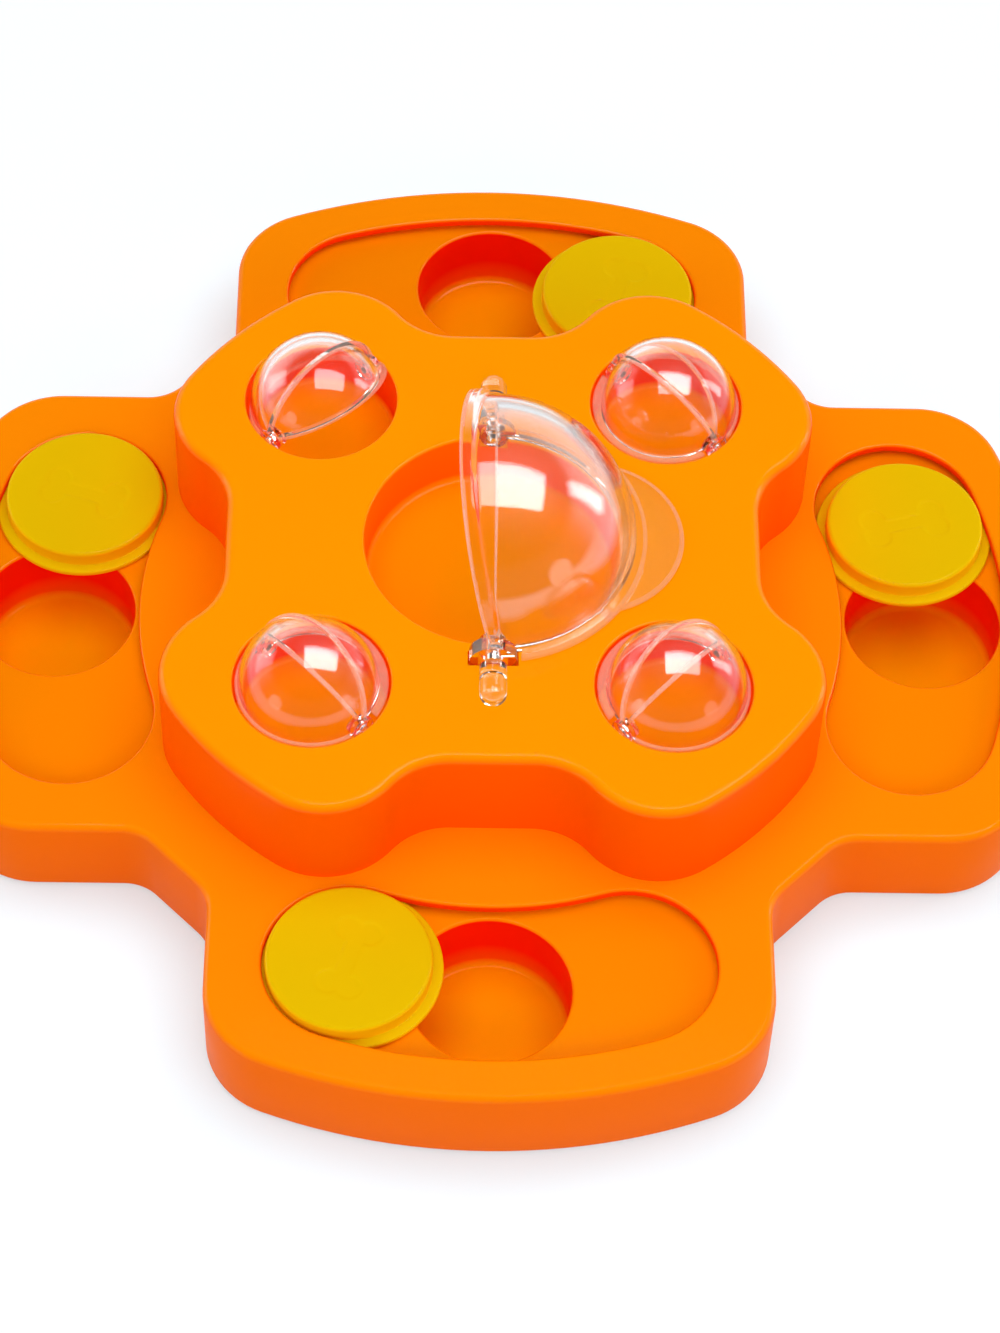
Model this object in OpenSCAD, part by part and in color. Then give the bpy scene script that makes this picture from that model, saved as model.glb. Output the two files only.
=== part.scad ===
// Treat puzzle for dogs: a lobed tray base with four sliding discs, and a raised
// clover platform with a central bowl and four small pockets under clear turning lids.
// Millimetres, +Z up, origin on the surface it stands on, below the middle. The front is -Y.

/* [Bowl and pockets] */
// Radius of the central bowl
bowl_r = 33.7; // [28:0.1:42]
// Depth of the central bowl
bowl_depth = 16; // [12:0.5:20]
// Radius of each small pocket
pocket_r = 20.2; // [16:0.1:25]
// Depth of each small pocket
pocket_depth = 16; // [13:0.5:20]
// Flat bridge between the bowl and a small pocket
bridge_w = 11.4; // [8:0.1:20]
// Rim between a small pocket and the platform's edge
pocket_rim = 13; // [10:0.5:20]
// Wall and floor of a moulded cup
cup_t = 2; // [1.5:0.1:3]

/* [Platform] */
// Height of the platform above the base
platform_h = 31; // [24:0.5:40]
// How far each of the four scallops bites into the round outline
scallop_depth = 28.5; // [23.5:0.5:34.5]
// Half width of the flat middle of a scallop
scallop_flat = 10.5; // [6:0.5:14]
// Concave radius at the bottom of a scallop
scallop_r = 19; // [15:0.5:22]
// Convex radius where a scallop meets the round outline
shoulder_r = 22; // [16:0.5:26]
// Top plate of the platform
platform_t = 2.5; // [2:0.1:3.5]

/* [Base] */
// Height of the base's side wall
base_h = 26.2; // [22:0.2:34]
// Ledge between a platform scallop and a slider track
ledge_w = 24; // [14:0.5:34]
// How far the diagonal sides stand beyond the corners where the lobes' sides would meet
waist_fill = 13; // [8:0.1:20]
// Width of a slider track, radially
track_w = 44.2; // [36:0.1:54]
// Half angle between the two end positions of a slider
track_angle = 17.8; // [14:0.1:21.4]
// Rim outside a slider track
outer_rim = 11.8; // [9:0.1:18]
// Rim beside a slider track's round end
side_rim = 14.4; // [12:0.1:20]
// How far the centre of a lobe's crown lies behind the middle
crown_setback = 11.7; // [0:0.1:30]
// Corner radius of a lobe
lobe_corner_r = 22.8; // [18:0.1:28]
// Concave radius between a lobe and a diagonal side
waist_r = 12; // [6:0.5:18]
// Outer wall of the mouldings
wall = 2.4; // [1.8:0.1:3]
// Top plate of the base cover, which is the sliders' lip
cover_t = 2.2; // [1.8:0.1:2.6]
// Bottom plate of the tray
tray_t = 2; // [1.6:0.1:3]
// Gap between the tray's edge and the cover's wall
tray_gap = 0.3; // [0.1:0.05:0.6]

/* [Sliders] */
// Gap round a slider's disc in its track
disc_gap = 0.9; // [0.4:0.1:1.5]
// How far the flange reaches under the lip
flange_reach = 2.7; // [2:0.1:4]
// Thickness of the flange
flange_t = 1.5; // [1.2:0.1:2]
// Gap above and below the flange
flange_gap = 0.2; // [0.1:0.05:0.4]
// How far a disc stands above the base
disc_proud = 2.1; // [1:0.1:5]
// Floor left between the edge of a treat well and the sides of its track
well_margin = 1.3; // [0.5:0.1:4]

/* [Centre lid] */
// Wall of a lid shell
lid_t = 1.6; // [1.2:0.1:2.2]
// Running gap between nested lid shells
nest_gap = 0.4; // [0.3:0.05:0.8]
// Gap between the bowl's edge and the inner shell's inner wall
bowl_seat = 0.2; // [0.1:0.05:1]
// Angle that the outer shell covers
outer_lid_angle = 104; // [95:1:115]
// Width of the raised lip along the outer shell's upper edge
edge_lip_w = 4.4; // [2:0.1:6]
// How far that lip stands out from the shell
edge_lip_h = 1.5; // [0.5:0.1:2]
// Width of the outer shell's rim flange
rim_w = 2.8; // [1:0.1:3.4]
// Thickness of that flange
rim_t = 1.7; // [1.2:0.1:2]
// Gap between the lying shells and the platform
rest_gap = 0.3; // [0.1:0.05:0.6]
// Radius of the round grip tab
tab_r = 24.5; // [18:0.5:30]
// How far the tab reaches beyond the shell
tab_reach = 12.4; // [8:0.1:18]
// Thickness of the tab
tab_t = 1.2; // [0.8:0.1:1.6]
// Height of the hinge axis above the platform
axis_rise = 0.8; // [0.5:0.1:2]
// Radius of the hinge spigot
spigot_r = 2; // [1.5:0.1:2.5]
// Length of the hinge clip's body
clip_len = 12.5; // [9:0.5:16]
// Radius of the hinge clip's body
clip_r = 3.5; // [3:0.1:4.5]

/* [Small lids] */
// Gap between a small lid's rim and its pocket
lid_gap = 0.6; // [0.5:0.05:1.5]
// Wall of a small lid shell
small_t = 1.2; // [1:0.1:1.6]
// Width of a small lid's rim flange
small_rim_w = 0.6; // [0.4:0.1:2]
// Angle that each small shell covers
small_lid_angle = 108; // [95:1:115]
// Depth of a small lid's hinge axis below the platform's top
small_axis_drop = 1.5; // [1.3:0.1:2.5]
// Radius of a small lid's pin
pin_r = 1; // [0.8:0.05:1.1]
// How far the opened lid's outer shell is turned down
opened_outer = 16; // [0:1:16]
// How far the opened lid's inner shell is turned up
opened_inner = 38; // [0:1:60]

/* [Fasteners and feet] */
// Radial running clearance of every hinge bore
bore_gap = 0.06; // [0.03:0.01:0.1]
// Radius of a screw's shaft
screw_r = 1.25; // [1:0.05:1.5]
// Length of a screw's shaft
screw_len = 10; // [8:0.5:14]
// Radius of a foot
foot_r = 13; // [9:0.5:16]
// How far a foot stands below the base
foot_proud = 0.8; // [0.5:0.1:2]

/* [Hidden] */
$fn = 96;

// Colours of the mouldings
orange = "#FF8C05";
yellow = "#EBBE00";
clear = [0.95, 0.97, 1, 0.45];
dark = "#3A3A3C";
steel = "#B9BCC0";

// A cut runs this far past the face it opens, and a joined piece this far into its neighbour
over = 1;
sink = 0.4;
rib_t = 1.6;

// Heights
base_z = foot_proud;
base_top = base_z + base_h;
lip_z = base_top - cover_t;
floor_z = lip_z - flange_t - 2 * flange_gap;
floor_t = 1.8;
tray_top = base_z + tray_t;
platform_top = base_top + platform_h;
lid_axis_z = platform_top + axis_rise;
small_axis_z = platform_top - small_axis_drop;

// The platform's moulding is kept in pieces that meet on this level, below the pins' seats
rim_depth = 4.5;
rim_z = platform_top - rim_depth;

// Plan sizes, worked outwards from the bowl
pocket_at = bowl_r + bridge_w + pocket_r;
platform_r = pocket_at + pocket_r + pocket_rim;
scallop_at = platform_r - scallop_depth;
track_r = scallop_at + ledge_w + track_w / 2;
reach = track_r + track_w / 2 + outer_rim;
lobe_half_w = track_r * sin(track_angle) + track_w / 2 + side_rim;
waist_at = sqrt(2) * lobe_half_w + waist_fill;
crown_r = reach + crown_setback;
corner_v = lobe_half_w - lobe_corner_r;
corner_u = sqrt(pow(crown_r - lobe_corner_r, 2) - pow(corner_v, 2)) - crown_setback;
crown_a = atan2(corner_v, corner_u + crown_setback);
waist_u = sqrt(2) * (waist_at + waist_r) - lobe_half_w - waist_r;

// Slider and tray
disc_r = track_w / 2 - disc_gap;
well_r = track_w / 2 - well_margin;
flange_r = disc_r + flange_reach;
cavity_w = flange_r + 0.5;
mesa_w = cavity_w + 2.2;
hollow_w = mesa_w - 2.2;

// Centre lid radii
inner_lid_r = bowl_r + bowl_seat;
inner_lid_out = inner_lid_r + 1.5;
outer_lid_in = inner_lid_out + nest_gap;
outer_lid_r = outer_lid_in + lid_t;
rim_r = outer_lid_r + rim_w;
rim_below = axis_rise - rest_gap;
outer_ear_r = 6.2;
outer_ear_t = 3.9;
outer_ear_y = outer_lid_r - 0.9;
inner_ear_r = 3.6;
inner_ear_in = inner_lid_r - 0.6;
ear_gap = 0.3;
clip_y = outer_ear_y + outer_ear_t + 0.6;
leg_y = clip_y + 5.1;
leg_l = 3.8;
leg_x = 2.5;
barb = 0.6;

// Small lid radii
small_rim_r = pocket_r - lid_gap;
small_out = small_rim_r - small_rim_w;
small_in = small_out - small_t;
nested_out = small_in - nest_gap;
nested_in = nested_out - small_t + 0.1;
small_rim_t = 1.2;
small_ear_r = 3.2;
nested_ear_r = 3;
pin_end = pocket_r + 2.4;
pin_block_w = 3.4;
rim_clear_x = 4.2;

// Fasteners
head_r = screw_r + 1.15;
head_t = 1.8;
boss_r = screw_r + 1.95;
post_r = head_r + 1.2;
post_top = base_z + 7.2;
screw_seat = base_z + 4.2;
screw_gap = 0.02;
hole_gap = 0.1;
foot_sink = tray_t / 2;
lobe_screw_angle = 56;
lobe_screw_out = mesa_w + boss_r + 1;
waist_screw_at = waist_at - wall - 12.4;
platform_screw_at = scallop_at - 10;

// Four lobes, four corners and the screw places that repeat on them
turns = [0, 90, 180, 270];
lobe_screws = [for (side = [-1, 1]) [
    track_r * cos(track_angle) + lobe_screw_out * cos(lobe_screw_angle),
    side * (track_r * sin(track_angle) + lobe_screw_out * sin(lobe_screw_angle))
]];

// Points along an arc, with the first or the last left out where a neighbour has them
function arc(centre, r, from, to, steps, skip_first = 0, skip_last = 0) =
    [for (i = [skip_first : steps - skip_last])
        let (a = from + (to - from) * i / steps)
        [centre[0] + r * cos(a), centre[1] + r * sin(a)]];

function turned(points, angle) =
    [for (p = points) [p[0] * cos(angle) - p[1] * sin(angle), p[0] * sin(angle) + p[1] * cos(angle)]];

// One lobe of the base along +X, inset from its outer face
function lobe_points(inset) = concat(
    arc([waist_u, -lobe_half_w - waist_r], waist_r + inset, 135, 90, 4),
    arc([corner_u, -corner_v], lobe_corner_r - inset, -90, -crown_a, 8, 0, 1),
    arc([-crown_setback, 0], crown_r - inset, -crown_a, crown_a, 10, 0, 1),
    arc([corner_u, corner_v], lobe_corner_r - inset, crown_a, 90, 8),
    arc([waist_u, lobe_half_w + waist_r], waist_r + inset, 270, 225, 4));

function base_points(inset) = [for (a = turns) each turned(lobe_points(inset), a)];

// One scallop of the platform across +X: the two rounded shoulders and the hollow between them
shoulder_at = platform_r - shoulder_r;
hollow_at = norm([scallop_at + scallop_r, scallop_flat]);
shoulder_cos = (pow(hollow_at, 2) + pow(shoulder_at, 2) - pow(scallop_r + shoulder_r, 2))
    / (2 * hollow_at * shoulder_at);
shoulder_a = atan2(scallop_flat, scallop_at + scallop_r) + acos(shoulder_cos);
shoulder_c = [shoulder_at * cos(shoulder_a), shoulder_at * sin(shoulder_a)];
meet_a = atan2(shoulder_c[1] - scallop_flat, scallop_at + scallop_r - shoulder_c[0]);

function scallop_points(inset) = concat(
    arc([shoulder_c[0], -shoulder_c[1]], shoulder_r - inset, -shoulder_a, meet_a, 12, 0, 1),
    arc([scallop_at + scallop_r, -scallop_flat], scallop_r + inset, 180 + meet_a, 180, 8),
    arc([scallop_at + scallop_r, scallop_flat], scallop_r + inset, 180, 180 - meet_a, 8, 0, 1),
    arc(shoulder_c, shoulder_r - inset, -meet_a, shoulder_a, 12, 0, 1),
    arc([0, 0], platform_r - inset, shoulder_a, 90 - shoulder_a, 4, 0, 1));

function platform_points(inset) = [for (a = turns) each turned(scallop_points(inset), a)];

// A slider track's outline along +X: two arcs about the middle, closed by two round ends
function track_points(half_w) =
    let (ends = [track_r * cos(track_angle), track_r * sin(track_angle)])
    concat(
        arc([0, 0], track_r + half_w, -track_angle, track_angle, 9),
        arc(ends, half_w, track_angle, track_angle + 180, 12, 1, 1),
        arc([0, 0], track_r - half_w, track_angle, -track_angle, 7),
        arc([ends[0], -ends[1]], half_w, 180 - track_angle, 360 - track_angle, 12, 1, 1));

module prism(points, z0, z1) {
    translate([0, 0, z0]) linear_extrude(z1 - z0) polygon(points);
}

module disc(r, z0, z1, at = [0, 0]) {
    translate([at[0], at[1], z0]) cylinder(r = r, h = z1 - z0);
}

// A rod along Y between two places, at a height
module rod(r, y0, y1, z) {
    translate([0, y0, z]) rotate([-90, 0, 0]) cylinder(r = r, h = y1 - y0);
}

// A block from one corner to the other
module block(low, high) {
    translate(low) cube(high - low);
}

module on_lobes() {
    for (a = turns) rotate([0, 0, a]) children();
}

module base_cover() {
    color(orange) difference() {
        union() {
            difference() {
                prism(base_points(0), base_z, base_top);
                prism(base_points(wall), base_z - over, lip_z);
            }
            on_lobes() {
                for (p = lobe_screws) disc(boss_r, post_top, lip_z + sink, p);
                rotate([0, 0, 45]) disc(boss_r, post_top, lip_z + sink, [waist_screw_at, 0]);
            }
        }
        on_lobes() {
            prism(track_points(track_w / 2), lip_z - over, base_top + over);
            for (p = lobe_screws) screw_bore(p);
            rotate([0, 0, 45]) screw_bore([waist_screw_at, 0]);
            disc(screw_r + hole_gap, lip_z - over, base_top + over, [platform_screw_at, 0]);
        }
    }
}

module screw_bore(at) {
    disc(screw_r + screw_gap, post_top - over, screw_seat + screw_len + over, at);
}

module base_tray() {
    color(orange) difference() {
        union() {
            prism(base_points(wall + tray_gap), base_z, tray_top);
            on_lobes() {
                prism(track_points(mesa_w), base_z, lip_z - 0.1);
                for (p = lobe_screws) disc(post_r, base_z, post_top, p);
                rotate([0, 0, 45]) disc(post_r, base_z, post_top, [waist_screw_at, 0]);
            }
        }
        on_lobes() {
            prism(track_points(cavity_w), floor_z, lip_z + over);
            tray_hollow();
            disc(well_r, tray_top, floor_z + over, [track_r, 0]);
            disc(foot_r + hole_gap, base_z - over, base_z + foot_sink, [track_r, 0]);
            for (p = lobe_screws) screw_seat_cut(p);
            rotate([0, 0, 45]) screw_seat_cut([waist_screw_at, 0]);
        }
    }
}

// The space under a track's floor, around the treat well, with a cross of ribs at each end
module tray_hollow() {
    difference() {
        prism(track_points(hollow_w), base_z - over, floor_z - floor_t);
        disc(well_r + cup_t, base_z - over, floor_z, [track_r, 0]);
        for (a = [-track_angle, track_angle]) rotate([0, 0, a]) translate([track_r, 0, floor_z / 2]) {
            cube([rib_t, 2 * mesa_w, floor_z + over], center = true);
            cube([2 * mesa_w, rib_t, floor_z + over], center = true);
        }
    }
}

module screw_seat_cut(at) {
    disc(head_r + hole_gap * 3, base_z - over, screw_seat, at);
    disc(screw_r + hole_gap, screw_seat - over, post_top + over, at);
}

// The top plate with its edge, the upper ends of the cups and posts, and the pins' seats
module platform_plate() {
    color(orange) difference() {
        union() {
            difference() {
                prism(platform_points(0), rim_z, platform_top);
                prism(platform_points(wall), rim_z - over, platform_top - platform_t);
            }
            disc(bowl_r + cup_t, rim_z, platform_top - sink);
            on_lobes() {
                disc(boss_r, rim_z, platform_top - platform_t + sink, [platform_screw_at, 0]);
                rotate([0, 0, 45]) translate([pocket_at, 0, 0]) {
                    disc(pocket_r + cup_t, rim_z, platform_top - sink);
                    for (s = [-1, 1]) scale([1, s, 1]) pin_block();
                }
            }
            for (s = [-1, 1]) scale([1, s, 1]) ear_housing(rim_z, platform_top - sink);
        }
        disc(bowl_r, rim_z - over, platform_top + over);
        on_lobes() rotate([0, 0, 45]) translate([pocket_at, 0, 0]) {
            disc(pocket_r, rim_z - over, platform_top + over);
            for (s = [-1, 1]) scale([1, s, 1]) pin_bore();
        }
        for (s = [-1, 1]) scale([1, s, 1]) ear_slots();
    }
}

module platform_wall() {
    color(orange) difference() {
        prism(platform_points(0), base_top, rim_z);
        prism(platform_points(wall), base_top - over, rim_z + over);
    }
}

// The four posts that the screws come up into
module platform_posts() {
    color(orange) on_lobes() difference() {
        disc(boss_r, base_top, rim_z, [platform_screw_at, 0]);
        disc(screw_r + screw_gap, base_top - over, lip_z + screw_len + over, [platform_screw_at, 0]);
    }
}

module bowl_cup() {
    color(orange) difference() {
        union() {
            disc(bowl_r + cup_t, platform_top - bowl_depth - cup_t, rim_z);
            for (s = [-1, 1]) scale([1, s, 1]) ear_housing(lid_axis_z - outer_ear_r - ear_gap - cup_t, rim_z);
        }
        disc(bowl_r, platform_top - bowl_depth, rim_z + over);
        for (s = [-1, 1]) scale([1, s, 1]) ear_slots();
    }
}

module pocket_cup(angle) {
    color(orange) rotate([0, 0, angle]) translate([pocket_at, 0, 0]) difference() {
        disc(pocket_r + cup_t, platform_top - pocket_depth - cup_t, rim_z);
        disc(pocket_r, platform_top - pocket_depth, rim_z + over);
    }
}

// The thickening that holds a small lid's pin
module pin_block() {
    block([-pin_block_w, pocket_r, rim_z], [pin_block_w, pin_end + cup_t, platform_top - sink]);
}

// The closed bore that a pin turns in
module pin_bore() {
    rod(pin_r + bore_gap, pocket_r - over, pin_end + 0.3, small_axis_z);
}

// The box under the top plate that the centre lid's ears turn in, between two heights
module ear_housing(z0, z1) {
    block(
        [-outer_ear_r - ear_gap - cup_t, bowl_r + cup_t - sink, z0],
        [outer_ear_r + ear_gap + cup_t, clip_y + cup_t, z1]);
}

// Slots for the outer and the inner ear, the spigot's groove and the clip's leg hole
module ear_slots() {
    block(
        [-outer_ear_r - ear_gap, outer_ear_y - ear_gap, lid_axis_z - outer_ear_r - ear_gap],
        [outer_ear_r + ear_gap, outer_ear_y + outer_ear_t + ear_gap, platform_top + over]);
    block(
        [-inner_ear_r - ear_gap, bowl_r - 3, lid_axis_z - inner_ear_r - ear_gap],
        [inner_ear_r + ear_gap, outer_ear_y, platform_top + over]);
    rod(spigot_r + hole_gap, bowl_r - 3, clip_y + over, lid_axis_z);
    block(
        [-leg_x - hole_gap, leg_y - hole_gap, platform_top - platform_h / 2],
        [leg_x + hole_gap, leg_y + leg_l + hole_gap, platform_top + over]);
}

// A slider along +X at an angle round its track
module slider(angle) {
    color(yellow) rotate([0, 0, angle]) {
        disc(disc_r, lip_z - flange_gap - sink, base_top + disc_proud, [track_r, 0]);
        disc(flange_r, floor_z + flange_gap, lip_z - flange_gap, [track_r, 0]);
    }
}

// What lies between a level plane and a plane turned up about Y by an angle under 180
module wedge(size, bottom, angle) {
    intersection() {
        block([-size, -size, bottom], [size, size, 2 * size]);
        rotate([0, -angle, 0]) block([-2 * size, -size, -2 * size], [2 * size, size, 0]);
    }
}

module shell(outer, inner) {
    difference() {
        sphere(r = outer);
        sphere(r = inner);
    }
}

// A flat ring between two radii, kept beyond a distance along +X
module half_ring(outer, inner, z0, z1, from_x) {
    intersection() {
        difference() {
            disc(outer, z0, z1);
            disc(inner, z0 - over, z1 + over);
        }
        block([from_x, -outer - over, z0 - over], [outer + over, outer + over, z1 + over]);
    }
}

// The raised lip that follows the outer shell's upper edge
module edge_lip() {
    intersection() {
        shell(outer_lid_r + edge_lip_h, outer_lid_r - sink);
        wedge(outer_lid_r + 2 * over + edge_lip_h, -rim_below, outer_lid_angle);
        rotate([0, -outer_lid_angle, 0]) block(
            [-2 * outer_lid_r, -2 * outer_lid_r, -edge_lip_w],
            [2 * outer_lid_r, 2 * outer_lid_r, over]);
    }
}

module centre_lid_outer() {
    color(clear) translate([0, 0, lid_axis_z]) difference() {
        union() {
            intersection() {
                shell(outer_lid_r, outer_lid_in);
                wedge(outer_lid_r + over, -rim_below, outer_lid_angle);
            }
            edge_lip();
            half_ring(rim_r, outer_lid_in + 0.2, -rim_below, rim_t - rim_below, outer_ear_r + 1);
            difference() {
                disc(tab_r, -rim_below, tab_t - rim_below, [outer_lid_r + tab_reach - tab_r, 0]);
                disc(outer_lid_in + 0.5, -rim_below - over, tab_t + over);
            }
            for (s = [-1, 1]) scale([1, s, 1]) rod(outer_ear_r, outer_ear_y, outer_ear_y + outer_ear_t, 0);
        }
        rod(spigot_r + bore_gap, -clip_y, clip_y, 0);
    }
}

module centre_lid_inner() {
    color(clear) translate([0, 0, lid_axis_z]) difference() {
        union() {
            intersection() {
                shell(inner_lid_out, inner_lid_r);
                wedge(inner_lid_out + over, -rim_below, 90);
            }
            for (s = [-1, 1]) scale([1, s, 1]) rod(inner_ear_r, inner_ear_in, inner_lid_out, 0);
        }
        rod(spigot_r + bore_gap, -clip_y, clip_y, 0);
    }
}

// A clip at +Y: a half-round body on the platform, a spigot through the ears and a two-pronged leg
module hinge_clip() {
    color(clear) union() {
        intersection() {
            rod(clip_r, clip_y, clip_y + clip_len, lid_axis_z);
            block(
                [-clip_r - over, 0, platform_top],
                [clip_r + over, clip_y + clip_len + over, lid_axis_z + clip_r + over]);
        }
        rod(spigot_r, inner_ear_in, clip_y + sink, lid_axis_z);
        for (s = [-1, 1]) scale([s, 1, 1]) {
            block([0.9, leg_y, platform_top - platform_t - 3.5], [leg_x, leg_y + leg_l, platform_top + sink]);
            block(
                [0.9, leg_y, platform_top - platform_t - 2.5],
                [leg_x + barb, leg_y + leg_l, platform_top - platform_t - 0.1]);
        }
    }
}

// Puts a small lid over the pocket at a compass angle, its +X away from the middle, turned about its pins
module over_pocket(angle, turn) {
    translate([pocket_at * cos(angle), pocket_at * sin(angle), small_axis_z])
        rotate([0, 0, angle]) rotate([0, -turn, 0]) children();
}

// The shell on the far side, with an ear round each pin
module small_lid_outer() {
    color(clear) difference() {
        union() {
            intersection() {
                shell(small_out, small_in);
                wedge(small_out + over, 0, small_lid_angle);
            }
            half_ring(small_rim_r, small_in + 0.2, 0, small_rim_t, rim_clear_x);
            for (s = [-1, 1]) scale([1, s, 1]) rod(small_ear_r, small_in + 0.1, small_out + 0.4, 0);
        }
        rod(pin_r + bore_gap, -pocket_r, pocket_r, 0);
    }
}

// The shell on the middle's side, which nests inside the other one and carries the pins
module small_lid_inner() {
    color(clear) scale([-1, 1, 1]) union() {
        intersection() {
            shell(nested_out, nested_in);
            wedge(nested_out + over, 0, small_lid_angle);
        }
        half_ring(small_rim_r, nested_in + 0.2, 0, small_rim_t, rim_clear_x);
        for (s = [-1, 1]) scale([1, s, 1]) {
            rod(nested_ear_r, nested_in - 0.6, nested_out - 0.5, 0);
            rod(pin_r, nested_in - 0.6, pin_end, 0);
        }
    }
}

module foot(angle) {
    color(dark) rotate([0, 0, angle]) disc(foot_r, 0, base_z + foot_sink, [track_r, 0]);
}

// A pan-head screw standing on its head's seat, pointing up
module screw(at, seat) {
    disc(head_r, seat - head_t, seat, at);
    disc(screw_r, seat - sink, seat + screw_len, at);
}

module tray_screws() {
    color(steel) on_lobes() {
        for (p = lobe_screws) screw(p, screw_seat);
        rotate([0, 0, 45]) screw([waist_screw_at, 0], screw_seat);
    }
}

module platform_screws() {
    color(steel) on_lobes() screw([platform_screw_at, 0], lip_z);
}

base_cover();
base_tray();
platform_plate();
platform_wall();
platform_posts();
bowl_cup();
pocket_cup(45);  // pocket_cup_back_right
pocket_cup(135);  // pocket_cup_back_left
pocket_cup(225);  // pocket_cup_front_left
pocket_cup(315);  // pocket_cup_front_right
slider(270 - track_angle);  // slider_front
slider(track_angle - 3.3);  // slider_right
slider(90 - track_angle);  // slider_back
slider(180 - track_angle);  // slider_left
centre_lid_outer();
centre_lid_inner();
scale([1, -1, 1]) hinge_clip();  // hinge_clip_front
hinge_clip();  // hinge_clip_back
over_pocket(45, 0) small_lid_outer();  // lid_outer_back_right
over_pocket(135, -opened_outer) small_lid_outer();  // lid_outer_back_left
over_pocket(225, 0) small_lid_outer();  // lid_outer_front_left
over_pocket(315, 0) small_lid_outer();  // lid_outer_front_right
over_pocket(45, 0) small_lid_inner();  // lid_inner_back_right
over_pocket(135, -opened_inner) small_lid_inner();  // lid_inner_back_left
over_pocket(225, 0) small_lid_inner();  // lid_inner_front_left
over_pocket(315, 0) small_lid_inner();  // lid_inner_front_right
foot(270);  // foot_front
foot(0);  // foot_right
foot(90);  // foot_back
foot(180);  // foot_left
tray_screws();
platform_screws();
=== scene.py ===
"""Looks of a treat puzzle board for dogs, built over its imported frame.

Sizes in the classes are millimetres in the frame's own axes; meshes are written in metres.
"""
import logging
import math
from dataclasses import dataclass, field
from enum import Enum
from functools import partial
from typing import Callable, Iterable, Sequence

import bmesh
import bpy
from mathutils import Matrix, Vector


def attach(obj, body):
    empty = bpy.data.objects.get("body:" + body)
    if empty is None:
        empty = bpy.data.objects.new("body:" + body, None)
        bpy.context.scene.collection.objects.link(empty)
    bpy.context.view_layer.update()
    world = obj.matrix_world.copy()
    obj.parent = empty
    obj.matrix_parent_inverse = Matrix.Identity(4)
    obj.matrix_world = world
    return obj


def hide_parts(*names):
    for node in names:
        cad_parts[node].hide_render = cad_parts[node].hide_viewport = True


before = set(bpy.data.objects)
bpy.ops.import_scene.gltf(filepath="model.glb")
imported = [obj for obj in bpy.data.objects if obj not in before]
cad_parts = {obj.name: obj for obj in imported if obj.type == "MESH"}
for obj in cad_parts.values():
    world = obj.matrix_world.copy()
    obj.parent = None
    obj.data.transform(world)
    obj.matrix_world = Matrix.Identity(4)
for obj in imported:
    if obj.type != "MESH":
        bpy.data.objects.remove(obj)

log = logging.getLogger("puzzle_board")

MM = 0.001
GUARD = 0.2  # the width of the flat ring beyond a rounded edge, which keeps its shading clean
CREASE = math.radians(32.0)  # edges sharper than this stay sharp
QUARTERS = (0.0, 90.0, 180.0, 270.0)
SIDES = {"front": 270.0, "right": 0.0, "back": 90.0, "left": 180.0}
CORNERS = {"back_right": 45.0, "back_left": 135.0, "front_left": 225.0, "front_right": 315.0}
Object, Node, Socket = bpy.types.Object, bpy.types.Node, bpy.types.NodeSocket
Ring = list[bmesh.types.BMVert]
Loop = list[tuple[float, float]]
Level = tuple[float, float]


def linear(colour: str) -> tuple[float, float, float, float]:
    """Turns an sRGB hex colour into linear values.

    Args:
        colour: the colour as "#RRGGBB".

    Returns:
        Linear red, green and blue, and an alpha of 1.
    """
    parts = [int(colour[i:i + 2], 16) / 255 for i in (1, 3, 5)]
    r, g, b = (p / 12.92 if p <= 0.04045 else ((p + 0.055) / 1.055) ** 2.4 for p in parts)
    return (r, g, b, 1.0)


def grey(level: float) -> tuple[float, float, float, float]:
    """Gives a linear grey of a level."""
    return (level, level, level, 1.0)


def eased(share: float) -> float:
    """Limits a share to 0 to 1 and eases it at both ends."""
    t = min(max(share, 0.0), 1.0)
    return t * t * (3 - 2 * t)


def polar(radius: float, degrees: float) -> tuple[float, float]:
    """Gives the place at a radius and an angle about the origin."""
    return radius * math.cos(math.radians(degrees)), radius * math.sin(math.radians(degrees))


def arc(centre: tuple[float, float], radius: float, start: float, end: float, steps: int,
        first: bool = True, last: bool = True) -> Loop:
    """Gives points along an arc.

    Args:
        centre: the arc's centre.
        radius: its radius.
        start: the first angle, in degrees.
        end: the last angle, in degrees.
        steps: how many equal steps lie between them.
        first: whether the first point is kept.
        last: whether the last point is kept.

    Returns:
        The points in order.
    """
    spots = (polar(radius, start + (end - start) * i / steps)
             for i in range(0 if first else 1, steps + 1 if last else steps))
    return [(centre[0] + x, centre[1] + y) for x, y in spots]


def turned(loop: Loop, degrees: float) -> Loop:
    """Turns a loop about the origin, anticlockwise."""
    c, s = polar(1.0, degrees)
    return [(x * c - y * s, x * s + y * c) for x, y in loop]


def circle(radius: float, centre: tuple[float, float] = (0.0, 0.0), steps: int = 96) -> Loop:
    """Gives a circle as a loop, anticlockwise."""
    return arc(centre, radius, 0, 360, steps, last=False)


def oblong(x0: float, y0: float, x1: float, y1: float) -> Loop:
    """Gives a rectangle as a loop, anticlockwise."""
    return [(x0, y0), (x1, y0), (x1, y1), (x0, y1)]


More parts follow.
